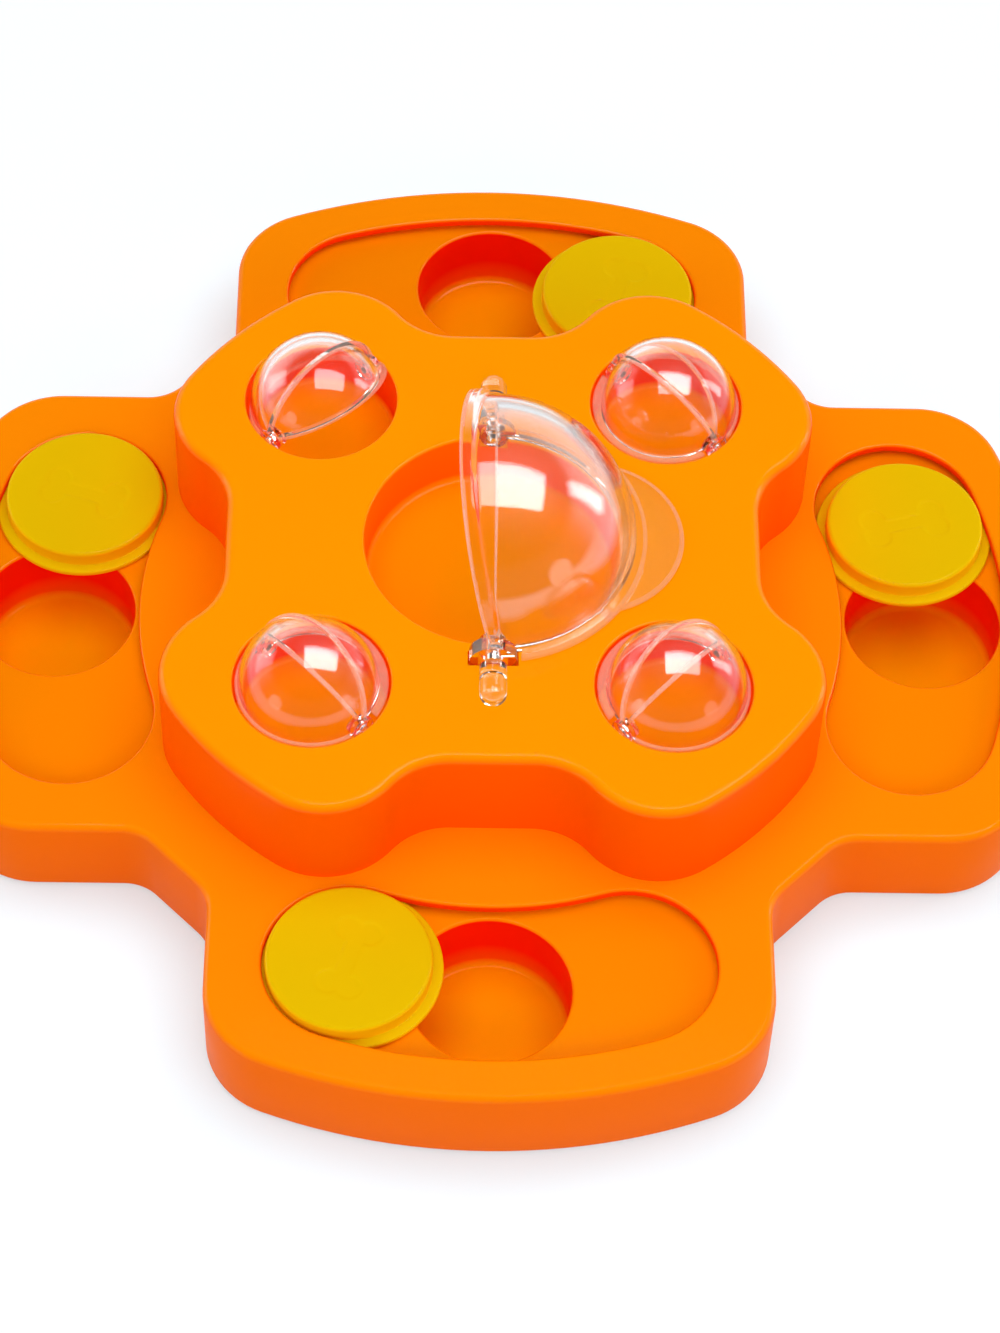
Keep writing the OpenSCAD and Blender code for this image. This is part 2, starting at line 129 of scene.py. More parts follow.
def quarter(start: Level, end: Level, steps: int, upright: bool) -> list[Level]:
    """Gives a rounded corner between two (width, height) places.

    Args:
        start: the place where the rounding begins.
        end: the place where it ends.
        steps: how many straight strips it has.
        upright: True if it leaves its start along the height, False if along the width.

    Returns:
        The places, both ends among them.
    """
    places = []
    for i in range(steps + 1):
        a = math.pi / 2 * i / steps
        across, along = (1 - math.cos(a), math.sin(a)) if upright else (math.sin(a), 1 - math.cos(a))
        places.append((start[0] + (end[0] - start[0]) * across, start[1] + (end[1] - start[1]) * along))
    return places


def mouth(size: float, top: float, edge: float) -> list[Level]:
    """Gives the rounded upper edge of an opening of a size in a flat top, from outside inwards."""
    return [(size + edge + GUARD, top)] + quarter((size + edge, top), (size, top - edge), 6, False)


def cup(radius: float, top: float, edge: float, floor: float, root: float) -> list[Level]:
    """Gives the profile of a round cup, from its rounded mouth to its floor with a rounded root."""
    wall = quarter((radius, floor + root), (radius - root, floor), 8, True)
    return mouth(radius, top, edge) + wall + [(radius - root - GUARD, floor)]


@dataclass
class Skin:
    """Builds one mesh from rings of points, in millimetres.

    Attributes:
        bm: the mesh under construction.
    """

    bm: bmesh.types.BMesh = field(default_factory=bmesh.new)

    def ring(self, points: Iterable[Sequence[float]]) -> Ring:
        """Adds points in space and returns their vertices."""
        return [self.bm.verts.new(p) for p in points]

    def level(self, loop: Loop, z: float) -> Ring:
        """Adds a level loop at a height."""
        return self.ring((x, y, z) for x, y in loop)

    def stack(self, rings: list[Ring], closed: bool = True, capped: bool = False) -> list[Ring]:
        """Joins rings of the same length with quads.

        Args:
            rings: the rings, in order.
            closed: whether each ring's last point joins its first.
            capped: whether the first and the last ring are closed with one face each.

        Returns:
            The same rings.
        """
        for low, high in zip(rings, rings[1:]):
            n = len(low)
            for i in range(n if closed else n - 1):
                j = (i + 1) % n
                self.bm.faces.new((low[i], low[j], high[j], high[i]))
        if capped:
            self.bm.faces.new(rings[0])
            self.bm.faces.new(rings[-1])
        return rings

    def walls(self, outline: Callable[[float], Loop], places: Sequence[Level],
              capped: bool = False) -> list[Ring]:
        """Lofts an outline through (size, height) places.

        Args:
            outline: gives the loop for a size, with the same number of points each time.
            places: the sizes and heights.
            capped: whether both ends are closed.

        Returns:
            The rings, in order.
        """
        return self.stack([self.level(outline(size), z) for size, z in places], capped=capped)

    def plane(self, *rings: Ring) -> None:
        """Fills a flat area.

        Args:
            rings: its outer ring, then any rings inside it.
        """
        edges = []
        for ring in rings:
            for a, b in zip(ring, ring[1:] + ring[:1]):
                edges.append(self.bm.edges.get((a, b)) or self.bm.edges.new((a, b)))
        bmesh.ops.triangle_fill(self.bm, use_beauty=True, use_dissolve=False, edges=edges)

    def cap(self, ring: Ring, height: float | None = None) -> None:
        """Closes a ring with a fan about its middle.

        Args:
            ring: the ring.
            height: the height of the middle, or None for the ring's own.
        """
        middle = sum((v.co for v in ring), Vector()) / len(ring)
        if height is not None:
            middle.z = height
        hub = self.bm.verts.new(middle)
        for a, b in zip(ring, ring[1:] + ring[:1]):
            self.bm.faces.new((a, b, hub))

    def block(self, low: Sequence[float], high: Sequence[float]) -> None:
        """Adds a box between two corners."""
        loop = oblong(low[0], low[1], high[0], high[1])
        self.stack([self.level(loop, low[2]), self.level(loop, high[2])], capped=True)

    def rod(self, radius: float, start: Sequence[float], end: Sequence[float], steps: int = 48,
            edge: float = 0.0) -> None:
        """Adds a round rod.

        Args:
            radius: its radius.
            start: the middle of one end.
            end: the middle of the other end.
            steps: how many sides it has.
            edge: the radius of its ends' edges, or 0 for sharp ones.
        """
        a, b = Vector(start), Vector(end)
        along = (b - a).normalized()
        side = along.orthogonal().normalized()
        up, far = along.cross(side), (b - a).length
        places = [(radius, 0.0), (radius, far)]
        if edge:
            places = quarter((radius - edge, 0), (radius, edge), 4, False) + quarter(
                (radius, far - edge), (radius - edge, far), 4, True)
        turns = [2 * math.pi * i / steps for i in range(steps)]
        self.stack([self.ring(a + along * h + (side * math.cos(t) + up * math.sin(t)) * r for t in turns)
                    for r, h in places], capped=True)

    def done(self, name: str, place: Matrix | None = None) -> Object:
        """Ends the mesh and puts it in the scene.

        Args:
            name: the object's name.
            place: where the mesh goes, in millimetres.

        Returns:
            The new object, at the origin, with its place in its mesh.
        """
        bmesh.ops.recalc_face_normals(self.bm, faces=self.bm.faces[:])
        if place is not None:
            self.bm.transform(place)
        self.bm.transform(Matrix.Scale(MM, 4))
        mesh = bpy.data.meshes.new(name)
        self.bm.to_mesh(mesh)
        self.bm.free()
        return shown(name, mesh)


def pair(radius: float, near: float, far: float, z: float = 0.0, steps: int = 48, edge: float = 0.0) -> Skin:
    """Builds two rods along Y, one on each side of the middle.

    Args:
        radius: their radius.
        near: how far from the middle they start.
        far: how far from the middle they end.
        z: the height of their axis.
        steps: how many sides they have.
        edge: the radius of their ends' edges, or 0 for sharp ones.

    Returns:
        The mesh under construction.
    """
    skin = Skin()
    for s in (-1, 1):
        skin.rod(radius, (0, s * near, z), (0, s * far, z), steps, edge)
    return skin


def shown(name: str, data: bpy.types.ID) -> Object:
    """Puts data in the scene as an object, a mesh with its surface smoothed.

    Args:
        name: the object's name.
        data: the mesh, lamp or camera.

    Returns:
        The new object.
    """
    thing = bpy.data.objects.new(name, data)
    bpy.context.scene.collection.objects.link(thing)
    if thing.type == "MESH":
        shade(thing)
    return thing


def shade(piece: Object) -> None:
    """Smooths a piece and keeps its creases sharp."""
    piece.data.shade_smooth()
    piece.data.set_sharp_from_angle(angle=CREASE)


def settled(piece: Object) -> Object:
    """Turns a piece's modifiers into plain mesh and removes them.

    Args:
        piece: the piece, which gets the new mesh.

    Returns:
        The same piece.
    """
    bpy.context.view_layer.update()
    ready = piece.evaluated_get(bpy.context.evaluated_depsgraph_get())
    mesh = bpy.data.meshes.new_from_object(ready)
    mesh.name = piece.name
    piece.modifiers.clear()
    piece.data = mesh
    shade(piece)
    return piece


class Cut(Enum):
    """What a cutter does to a piece."""

    AWAY = "DIFFERENCE"
    JOIN = "UNION"


def carve(piece: Object, *tools: tuple[Cut, Skin | Object], crossed: bool = False) -> None:
    """Cuts shapes away from a piece or joins them to it.

    Args:
        piece: what is changed.
        tools: how each cutter acts, and the cutter, which is used up, in order.
        crossed: whether the cutters run through themselves.
    """
    cutters = []
    for i, (kind, shape) in enumerate(tools):
        cutters.append(shape.done(f"{piece.name}_tool_{i}") if isinstance(shape, Skin) else shape)
        step = piece.modifiers.new(f"step_{i}", "BOOLEAN")
        step.operation, step.solver, step.object, step.use_self = kind.value, "EXACT", cutters[-1], crossed
    settled(piece)
    for cutter in cutters:
        mesh = cutter.data
        bpy.data.objects.remove(cutter)
        bpy.data.meshes.remove(mesh)


# Finishes


class Nodes:
    """A short way to write a node tree.

    Attributes:
        tree: the tree.
    """

    def __init__(self, tree: bpy.types.NodeTree) -> None:
        """Takes a tree and empties it."""
        tree.nodes.clear()
        self.tree = tree

    def add(self, kind: str, settings: dict[str, object] | None = None, **inputs: object) -> Node:
        """Adds a node with its settings and its inputs.

        Args:
            kind: the node's type, without "ShaderNode" where it starts with that.
            settings: its settings; "stops" are a colour ramp's places and colours.
            inputs: its inputs by name, with _ for a space, or by number, such as i0. Each is a value, a
                socket, a node that gives its first output, or a list of those.

        Returns:
            The node.
        """
        whole = kind.startswith(("Geometry", "Node"))
        node = self.tree.nodes.new(kind if whole else "ShaderNode" + kind)
        for key, value in (settings or {}).items():
            if key != "stops":
                setattr(node, key, value)
                continue
            points = node.color_ramp.elements
            while len(points) < len(value):
                points.new(0.5)
            for point, (place, colour) in zip(points, value):
                point.position, point.color = place, colour
        for key, value in inputs.items():
            socket = node.inputs[int(key[1:]) if key[1:].isdigit() else key.replace("_", " ")]
            for one in value if isinstance(value, list) else [value]:
                if isinstance(one, Node):
                    one = one.outputs[0]
                if isinstance(one, Socket):
                    self.tree.links.new(one, socket)
                else:
                    socket.default_value = one
        return node

    def rays(self, *kinds: str) -> Socket:
        """Tells some kinds of rays from all others.

        Args:
            kinds: their names, such as Camera.

        Returns:
            What gives 1 for rays of those kinds and 0 for others.
        """
        path = self.add("LightPath")
        found = [path.outputs[f"Is {kind} Ray"] for kind in kinds]
        while len(found) > 1:
            last = found.pop()
            found[-1] = self.add("Math", {"operation": "MAXIMUM"}, i0=found[-1], i1=last).outputs[0]
        return found[0]


@dataclass(frozen=True)
class Recipe:
    """A material that is made at its first use.

    Attributes:
        name: the material's name.
    """

    name: str

    def shader(self, n: Nodes) -> Node:
        """Adds the nodes of the material's look and returns the last of them."""
        raise NotImplementedError

    def material(self) -> bpy.types.Material:
        """Gives the material, which the first call makes.

        Returns:
            The material.
        """
        made = bpy.data.materials.get(self.name)
        if made is None:
            made = bpy.data.materials.new(self.name)
            made.use_nodes = True
            n = Nodes(made.node_tree)
            n.add("OutputMaterial", Surface=self.shader(n))
        return made


@dataclass(frozen=True)
class MouldedPlastic(Recipe):
    """Opaque moulded plastic with painted shade: upright walls get a deeper colour than level tops, standing
    in for the shade that falls on them.

    Attributes:
        top: the colour of level surfaces, the lit end of the painted shade.
        side: the colour of upright walls, a painted shade.
        bounce_lit_low_side: the colour of upright walls at the low end of the span, a painted glow of light
            bounced off the floor, or "" for the same colour.
        span: the heights between which the walls' painted colour changes, in metres.
        rough: the roughness.
        shine: the specular level.
        shine_tint: the colour of its reflections seen straight on.
        polish: the weight of its thin smooth skin.
        rim_polish: the same on rounded upper edges.
        clouds: how many clouds of the pigment there are to a metre.
        wear: the same for the marks of the mould's wear.
        grains: the same for the grains of its fine texture.
        grain: the height of that texture, in metres.
    """

    top: str
    side: str
    bounce_lit_low_side: str = ""
    span: tuple[float, float] = (0.003, 0.011)
    rough: float = 0.36
    shine: float = 0.04
    shine_tint: str = "#FF9A40"
    polish: float = 0.02
    rim_polish: float = 0.3
    clouds: float = 28.0
    wear: float = 90.0
    grains: float = 1500.0
    grain: float = 0.00003

    def shader(self, n: Nodes) -> Node:
        """Adds its nodes: colour by how level the surface is, which paints shade on the walls, and polish by
        the same; then clouds, wear and grain.

        Args:
            n: the material's node tree.

        Returns:
            Its shader.
        """
        up = n.add("SeparateXYZ", Vector=n.add("NewGeometry").outputs["Normal"]).outputs["Z"]
        place = n.add("TexCoord").outputs["Object"]

        def painted_shade_by_slope(side: str) -> Socket:
            """Fades from a wall's painted shade to the top's colour."""
            stops = [(0.25, linear(side)), (0.96, linear(self.top))]
            return n.add("ValToRGB", {"stops": stops}, Fac=up).outputs["Color"]

        colour = painted_shade_by_slope(self.side)
        # Painted light and shade by height: walls are lighter low down, where light bounces off the floor, and
        # deeper higher up, in shade.
        if self.bounce_lit_low_side:
            height = n.add("SeparateXYZ", Vector=place).outputs["Z"]
            share = n.add("MapRange", Value=height, From_Min=self.span[0], From_Max=self.span[1])
            colour = n.add("Mix", {"data_type": "RGBA"}, i0=share, i6=painted_shade_by_slope(self.bounce_lit_low_side),
                           i7=colour).outputs[2]
        skin = [(0.1, grey(self.polish)), (0.5, grey(self.rim_polish)), (0.93, grey(self.rim_polish)),
                (0.985, grey(self.polish))]
        cloud = n.add("TexNoise", Vector=place, Scale=self.clouds, Detail=3.0)
        worn = n.add("TexNoise", Vector=place, Scale=self.wear, Detail=4.0)
        fine = n.add("TexNoise", Vector=place, Scale=self.grains, Detail=2.0)
        return n.add(
            "BsdfPrincipled",
            Base_Color=n.add("HueSaturation", Color=colour,
                             Value=n.add("MapRange", Value=cloud, To_Min=0.985, To_Max=1.015)),
            Roughness=n.add("MapRange", Value=worn, To_Min=self.rough - 0.05, To_Max=self.rough + 0.06),
            IOR=1.3, Specular_IOR_Level=self.shine, Specular_Tint=linear(self.shine_tint),
            Coat_Weight=n.add("ValToRGB", {"stops": skin}, Fac=up), Coat_Roughness=0.06, Coat_IOR=1.4,
            Normal=n.add("Bump", Strength=0.25, Distance=self.grain, Height=fine))


@dataclass(frozen=True)
class ClearPlastic(Recipe):
    """Clear moulded plastic.

    Attributes:
        tint: its body colour.
        rough: the roughness of its polish.
        bend: its index of refraction.
        bloom: the weight of the soft sheen over its polish.
    """

    tint: str = "#FFFFFF"
    rough: float = 0.03
    bend: float = 1.42
    bloom: float = 0.12

    def shader(self, n: Nodes) -> Node:
        """Adds its nodes; shadow rays and diffuse rays pass straight through.

        Args:
            n: the material's node tree.

        Returns:
            Its shader, mixed with plain transparency for those rays.
        """
        glass = n.add("BsdfPrincipled", Base_Color=linear(self.tint), Roughness=self.rough, IOR=self.bend,
                      Transmission_Weight=1.0, Coat_Weight=self.bloom, Coat_Roughness=0.4, Coat_IOR=1.45)
        through = n.add("BsdfTransparent", Color=linear("#FFFEFD"))
        return n.add("MixShader", i0=n.rays("Shadow", "Diffuse"), i1=glass, i2=through)


@dataclass(frozen=True)
class GroundEdge(Recipe):
    """Clear plastic that is ground or frosted, so that it scatters part of the light.

    Attributes:
        colour: the colour that it scatters.
        cover: the share of light that it scatters at each face.
        marks: how many of its marks there are to a metre.
    """

    colour: str = "#FFE4D6"
    cover: float = 0.24
    marks: float = 700.0

    def shader(self, n: Nodes) -> Node:
        """Adds its nodes: a plain transparent one and a scattering one, mixed by its marks.

        Args:
            n: the material's node tree.

        Returns:
            Their mix.
        """
        grain = n.add("TexNoise", Vector=n.add("TexCoord").outputs["Object"], Scale=self.marks, Detail=3.0)
        share = n.add("MapRange", Value=grain, To_Min=self.cover - 0.08, To_Max=self.cover + 0.08)
        through = n.add("BsdfTransparent", Color=linear("#FFF6F0"))
        white = n.add("BsdfPrincipled", Base_Color=linear(self.colour), Roughness=0.5)
        return n.add("MixShader", i0=share, i1=through, i2=white)


@dataclass(frozen=True)
class PlainFinish(Recipe):
    """Rubber or turned metal with fine marks.

    Attributes:
        colour: its colour.
        rough: its roughness.
        metal: 1 for metal, 0 for rubber.
        marks: how many of its marks there are to a metre.
    """

    colour: str
    rough: float
    metal: float
    marks: float

    def shader(self, n: Nodes) -> Node:
        """Adds its nodes: its marks change its colour and its height a little.

        Args:
            n: the material's node tree.

        Returns:
            Its shader.
        """
        marks = n.add("TexNoise", Vector=n.add("TexCoord").outputs["Object"], Scale=self.marks, Detail=4.0)
        return n.add(
            "BsdfPrincipled", Roughness=self.rough, Metallic=self.metal,
            Base_Color=n.add("HueSaturation", Color=linear(self.colour),
                             Value=n.add("MapRange", Value=marks, To_Min=0.85, To_Max=1.12)),
            Normal=n.add("Bump", Strength=0.3, Distance=0.00005, Height=marks))


@dataclass(frozen=True)
class PaleFloor(Recipe):
    """A pale floor that shows white to whoever looks at it and keeps the shadow.

    Attributes:
        lift: the share of white glow in what is seen.
    """

    lift: float = 0.4

    def shader(self, n: Nodes) -> Node:
        """Adds its nodes; ambient occlusion dims its glow near the toy, a painted contact shadow, and the glow
        is full far away.

        Args:
            n: the material's node tree.

        Returns:
            Its shader, another one for what the camera, gloss and clear plastic see.
        """
        plain = n.add("BsdfDiffuse", Color=linear("#F4F4F4"))
        seen = n.add("BsdfDiffuse", Color=linear("#DAEEF9"))
        # Painted contact shadow: ambient occlusion darkens the glow near the toy, on top of the real shadow.
        open_air = n.add("AmbientOcclusion", {"samples": 8}, Distance=0.025).outputs["AO"]
        painted_contact_shadow = n.add("MapRange", Value=open_air, From_Min=0.45, From_Max=1.0, To_Min=1.12, To_Max=1.5)
        away = n.add("VectorMath", {"operation": "LENGTH"},
                     i0=n.add("TexCoord").outputs["Object"]).outputs["Value"]
        distant = n.add("MapRange", Value=away, From_Min=0.7, From_Max=2.2, To_Max=1.0)
        level = n.add("Math", {"operation": "ADD"}, i0=painted_contact_shadow, i1=distant)
        glow = n.add("Emission", Color=grey(1.0), Strength=level)
        lifted = n.add("MixShader", i0=self.lift, i1=seen, i2=glow)
        return n.add("MixShader", i0=n.rays("Camera", "Glossy", "Transmission"), i1=plain, i2=lifted)


class Finish(Enum):
    """The finishes, each with the record's slot that it stands for."""

    # Moulded ABS: satin, with soft highlights only on its rounded edges. All orange finishes are one plastic;
    # their different top and wall colours for the cover, platform, bowl, pockets, tracks and wells are painted
    # light and painted shade, and so are the yellow discs' top and wall colours. Clouds of about 36 mm are the
    # colour's slow drift, marks of about 11 mm the wear of the mould's polish, and grains of about 0.7 mm its
    # fine texture, which is nearer 0.1 mm on the real one and too fine to show.
    COVER = ("orange_plastic", MouldedPlastic("moulded_abs_cover", "#FF8C02", "#F46C02", polish=0.01))
    PLATFORM = ("orange_plastic", MouldedPlastic("moulded_abs_platform", "#FF9600", "#FF5E00"))
    CUP = ("orange_plastic", MouldedPlastic("moulded_abs_bowl", "#FF9400", "#FF6C00"))
    POCKET = ("orange_plastic", MouldedPlastic("moulded_abs_pocket", "#FF9400", "#FF4800"))
    TRACK = ("orange_plastic", MouldedPlastic("moulded_abs_track", "#FF8A00", "#FF4000"))
    WELL = ("orange_plastic", MouldedPlastic("moulded_abs_well", "#FFA200", "#FF1C00", "#FF6400"))
    YELLOW = ("yellow_plastic", MouldedPlastic("moulded_abs_disc", "#E7BD02", "#F4B804", rough=0.45,
                                               shine_tint="#FFE070", polish=0.0, rim_polish=0.1))
    # Moulded polystyrene: clear and bright, with sharp highlights and a faint bloom.
    CLEAR = ("clear_plastic", ClearPlastic("moulded_clear_polystyrene"))
    # The same where its gate and cut edges are ground: pale and milky, with marks of about 1.4 mm.
    EDGE = ("clear_plastic", GroundEdge("ground_clear_polystyrene"))
    # The same where a rim is frosted by the mould: a warm, thin haze.
    RIM = ("clear_plastic", GroundEdge("frosted_clear_polystyrene", "#FFE0C4", 0.17))
    # Moulded rubber: dull and nearly black, with marks of about 1.1 mm.
    RUBBER = ("dark_rubber", PlainFinish("moulded_rubber", "#303033", 0.75, 0.0, 900.0))
    # Zinc-plated steel: bright grey, with marks of about 0.6 mm.
    STEEL = ("steel", PlainFinish("zinc_plated_steel", "#B9BCC0", 0.35, 1.0, 1600.0))

    def __init__(self, slot: str, recipe: Recipe) -> None:
        """Keeps the slot and the recipe."""
        self.slot, self.recipe = slot, recipe


def areas(piece: Object, rule: Callable[[float, float, float], int]) -> list[int]:
    """Gives the number of each face's finish, by a rule on its middle in millimetres."""
    return [rule(*(face.center / MM)) for face in piece.data.polygons]


def dress(piece: Object, body: str, nodes: Sequence[str], *finishes: Finish,
          faces: Sequence[int] | None = None) -> None:
    """Gives a piece its finishes and its body, and hides the nodes that it replaces.

    Args:
        piece: the piece.
        body: the body that it moves with.
        nodes: the names of the nodes that it replaces.
        finishes: its own finish, then those of some of its faces.
        faces: the number of each face's finish, or None for its own.
    """
    piece.data.materials.clear()
    for finish in finishes:
        piece.data.materials.append(finish.recipe.material())
    if faces:
        piece.data.polygons.foreach_set("material_index", faces)
    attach(piece, body)
    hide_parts(*nodes)
    log.info("%s rides on %s, %d faces", piece.name, body, len(piece.data.polygons))


# Shared plan


@dataclass(frozen=True)
class Plan:
    """The sizes that several mouldings share, and the outlines that follow from them.

    Attributes:
        base_z: the height of the base's lower edge.
        base_top: the height of its top.
        lip_z: the height of the underside of its top plate, where the platform's screws have their seats.
        floor_z: the height of the track floors.
        top: the height of the platform's top.
        lobe_half: half a lobe's width.
        crown_back: how far beyond the toy's centre the arc of a lobe's end has its own centre.
        reach: how far the lobes reach from the centre.
        corner: the radius of a lobe's corners.
        waist_at: how far from the centre the flat between two lobes lies.
        waist_r: the radius of the hollow corners beside it.
        platform_r: the radius of the platform's four outer arcs.
        scallop_at: how far from the centre the flat of a scallop between them lies.
        scallop_flat: half the width of that flat.
        scallop_r: the radius of the hollow corners beside it.
        shoulder_r: the radius of the round shoulders beside a scallop.
        track_r: the radius of the tracks' middle line.
        track_half: half the width of a track's opening.
        track_angle: half the angle that a track's middle line spans, in degrees.
        well_r: the radius of a treat well.
        bowl_r: the radius of the bowl.
        pocket_r: the radius of a small pocket.
        pocket_at: how far from the centre the small pockets lie.
        cup_floor: the height of the bowl's floor and the pockets'.
        lid_axis: the height of the centre lid's axis.
        pin_axis: the height of the small lids' axes.
        pin_bore: the radius of the bores for their pins.
        counterbore: the height of the tray screws' seats.
        screw_out: how far a lobe's screws stand from the ends of its track's middle line.
        screw_angle: the angle at which they do, in degrees.
        waist_screw: how far inside a waist its screw stands.
        platform_screw: how far from the centre the platform's screws stand.
    """

    base_z: float = 0.8
    base_top: float = 27.0
    lip_z: float = 24.8
    floor_z: float = 22.9
    top: float = 58.0
    lobe_half: float = 71.99
    crown_back: float = 11.7
    reach: float = 149.99
    corner: float = 22.8
    waist_at: float = 114.81
    waist_r: float = 12.0
    platform_r: float = 98.5
    scallop_at: float = 70.0
    scallop_flat: float = 10.5
    scallop_r: float = 19.0
    shoulder_r: float = 22.0
    track_r: float = 116.1
    track_half: float = 22.1
    track_angle: float = 17.8
    well_r: float = 20.8
    bowl_r: float = 33.7
    pocket_r: float = 20.2
    pocket_at: float = 65.3
    cup_floor: float = 42.0
    lid_axis: float = 58.8
    pin_axis: float = 56.5
    pin_bore: float = 1.06
    counterbore: float = 5.0
    screw_out: float = 30.8
    screw_angle: float = 56.0
    waist_screw: float = 14.8
    platform_screw: float = 60.0

    def base(self, inset: float) -> Loop:
        """Gives the base's outline.

        Args:
            inset: how far it lies inside the outer face.

        Returns:
            The outline, anticlockwise.
        """
        crown = self.reach + self.crown_back
        v = self.lobe_half - self.corner
        u = math.sqrt((crown - self.corner) ** 2 - v ** 2) - self.crown_back
        a = math.degrees(math.atan2(v, u + self.crown_back))
        waist = math.sqrt(2) * (self.waist_at + self.waist_r) - self.lobe_half - self.waist_r
        side = self.lobe_half + self.waist_r
        lobe = (arc((waist, -side), self.waist_r + inset, 135, 90, 8)
                + arc((u, -v), self.corner - inset, -90, -a, 14, last=False)
                + arc((-self.crown_back, 0), crown - inset, -a, a, 24, last=False)
                + arc((u, v), self.corner - inset, a, 90, 14)
                + arc((waist, side), self.waist_r + inset, 270, 225, 8))
        return [p for q in QUARTERS for p in turned(lobe, q)]

    def platform(self, inset: float) -> Loop:
        """Gives the platform's outline.

        Args:
            inset: how far it lies inside the outer face.

        Returns:
            The outline, anticlockwise.
        """
        far, hollow = self.platform_r - self.shoulder_r, self.scallop_at + self.scallop_r
        reach = math.hypot(hollow, self.scallop_flat)
        a = math.degrees(math.atan2(self.scallop_flat, hollow) + math.acos(
            (reach ** 2 + far ** 2 - (self.scallop_r + self.shoulder_r) ** 2) / (2 * reach * far)))
        cx, cy = polar(far, a)
        m = math.degrees(math.atan2(cy - self.scallop_flat, hollow - cx))
        one = (arc((cx, -cy), self.shoulder_r - inset, -a, m, 24, last=False)
               + arc((hollow, -self.scallop_flat), self.scallop_r + inset, 180 + m, 180, 14)
               + arc((hollow, self.scallop_flat), self.scallop_r + inset, 180, 180 - m, 14, last=False)
               + arc((cx, cy), self.shoulder_r - inset, -m, a, 24, last=False)
               + arc((0, 0), self.platform_r - inset, a, 90 - a, 10, last=False))
        return [p for q in QUARTERS for p in turned(one, q)]

    def track(self, half: float, lobe: float) -> Loop:
        """Gives a track's outline.

        Args:
            half: half the track's width.
            lobe: the angle of its lobe, in degrees.

        Returns:
            The outline, anticlockwise.
        """
        t = self.track_angle
        ex, ey = self.on_track(t)
        loop = (arc((0, 0), self.track_r + half, -t, t, 30)
                + arc((ex, ey), half, t, t + 180, 26, first=False, last=False)
                + arc((0, 0), self.track_r - half, t, -t, 24)
                + arc((ex, -ey), half, 180 - t, 360 - t, 26, first=False, last=False))
        return turned(loop, lobe)

    def on_track(self, lobe: float) -> tuple[float, float]:
        """Gives the middle of a track at an angle about the toy's centre."""
        return polar(self.track_r, lobe)

    def from_track(self, x: float, y: float) -> float:
        """Measures how far a place is from the nearest track.

        Args:
            x: the place's x.
            y: its y.

        Returns:
            Its distance to that track's middle line.
        """
        turn = math.degrees(math.atan2(y, x))
        lobe = 90.0 * round(turn / 90)
        u, v = self.on_track(lobe + min(max(turn - lobe, -self.track_angle), self.track_angle))
        return math.hypot(x - u, y - v)

    def pocket(self, angle: float) -> tuple[float, float]:
        """Gives the centre of the small pocket at an angle."""
        return polar(self.pocket_at, angle)

    def screws(self) -> list[tuple[float, float]]:
        """Gives the tray screws' places.

        Returns:
            Two places on each lobe and one at each waist.
        """
        x, y = self.on_track(self.track_angle)
        u, v = polar(self.screw_out, self.screw_angle)
        spots = [(x + u, -y - v), (x + u, y + v)] + turned([(self.waist_at - self.waist_screw, 0.0)], 45)
        return [p for q in QUARTERS for p in turned(spots, q)]


# Mouldings


@dataclass
class Part:
    """A part of the toy.

    Attributes:
        plan: the shared sizes.
    """

    plan: Plan


@dataclass
class BaseCover(Part):
    """The lobed outer moulding with four curved openings.

    Attributes:
        edge: the radius of the upper outer edge.
        foot_edge: the radius of the lower outer edge.
        lip_edge: the radius of the openings' upper edge.
        wall: the wall's thickness.
        margin: how far beyond an opening's edge the track's redder finish, a painted shade, reaches.
    """

    edge: float = 2.1
    foot_edge: float = 0.7
    lip_edge: float = 0.9
    wall: float = 2.4
    margin: float = 2.0

    def build(self) -> None:
        """Builds and dresses the moulding."""
        p, skin = self.plan, Skin()
        places = quarter((self.foot_edge, p.base_z), (0, p.base_z + self.foot_edge), 3, False)
        places += quarter((0, p.base_top - self.edge), (self.edge, p.base_top), 9, True)
        outside = skin.walls(p.base, places + [(self.edge + GUARD, p.base_top)])
        inside = skin.walls(p.base, [(self.wall, p.base_z), (self.wall, p.lip_z)])
        skin.stack([outside[0], inside[0]])
        rim = mouth(p.track_half, p.base_top, self.lip_edge) + [(p.track_half, p.lip_z)]
        openings = [skin.walls(partial(p.track, lobe=q), rim) for q in QUARTERS]
        skin.plane(outside[-1], *(rings[0] for rings in openings))
        skin.plane(inside[-1], *(rings[-1] for rings in openings))
        piece = skin.done("base_cover_moulding")
        # The openings' walls take the track's redder copy of the plastic: a painted shade.
        dress(piece, "base", ["base_cover"], Finish.COVER, Finish.TRACK, faces=areas(
            piece, lambda x, y, z: int(
                z < p.base_top - 0.02 and p.from_track(x, y) < p.track_half + self.margin)))


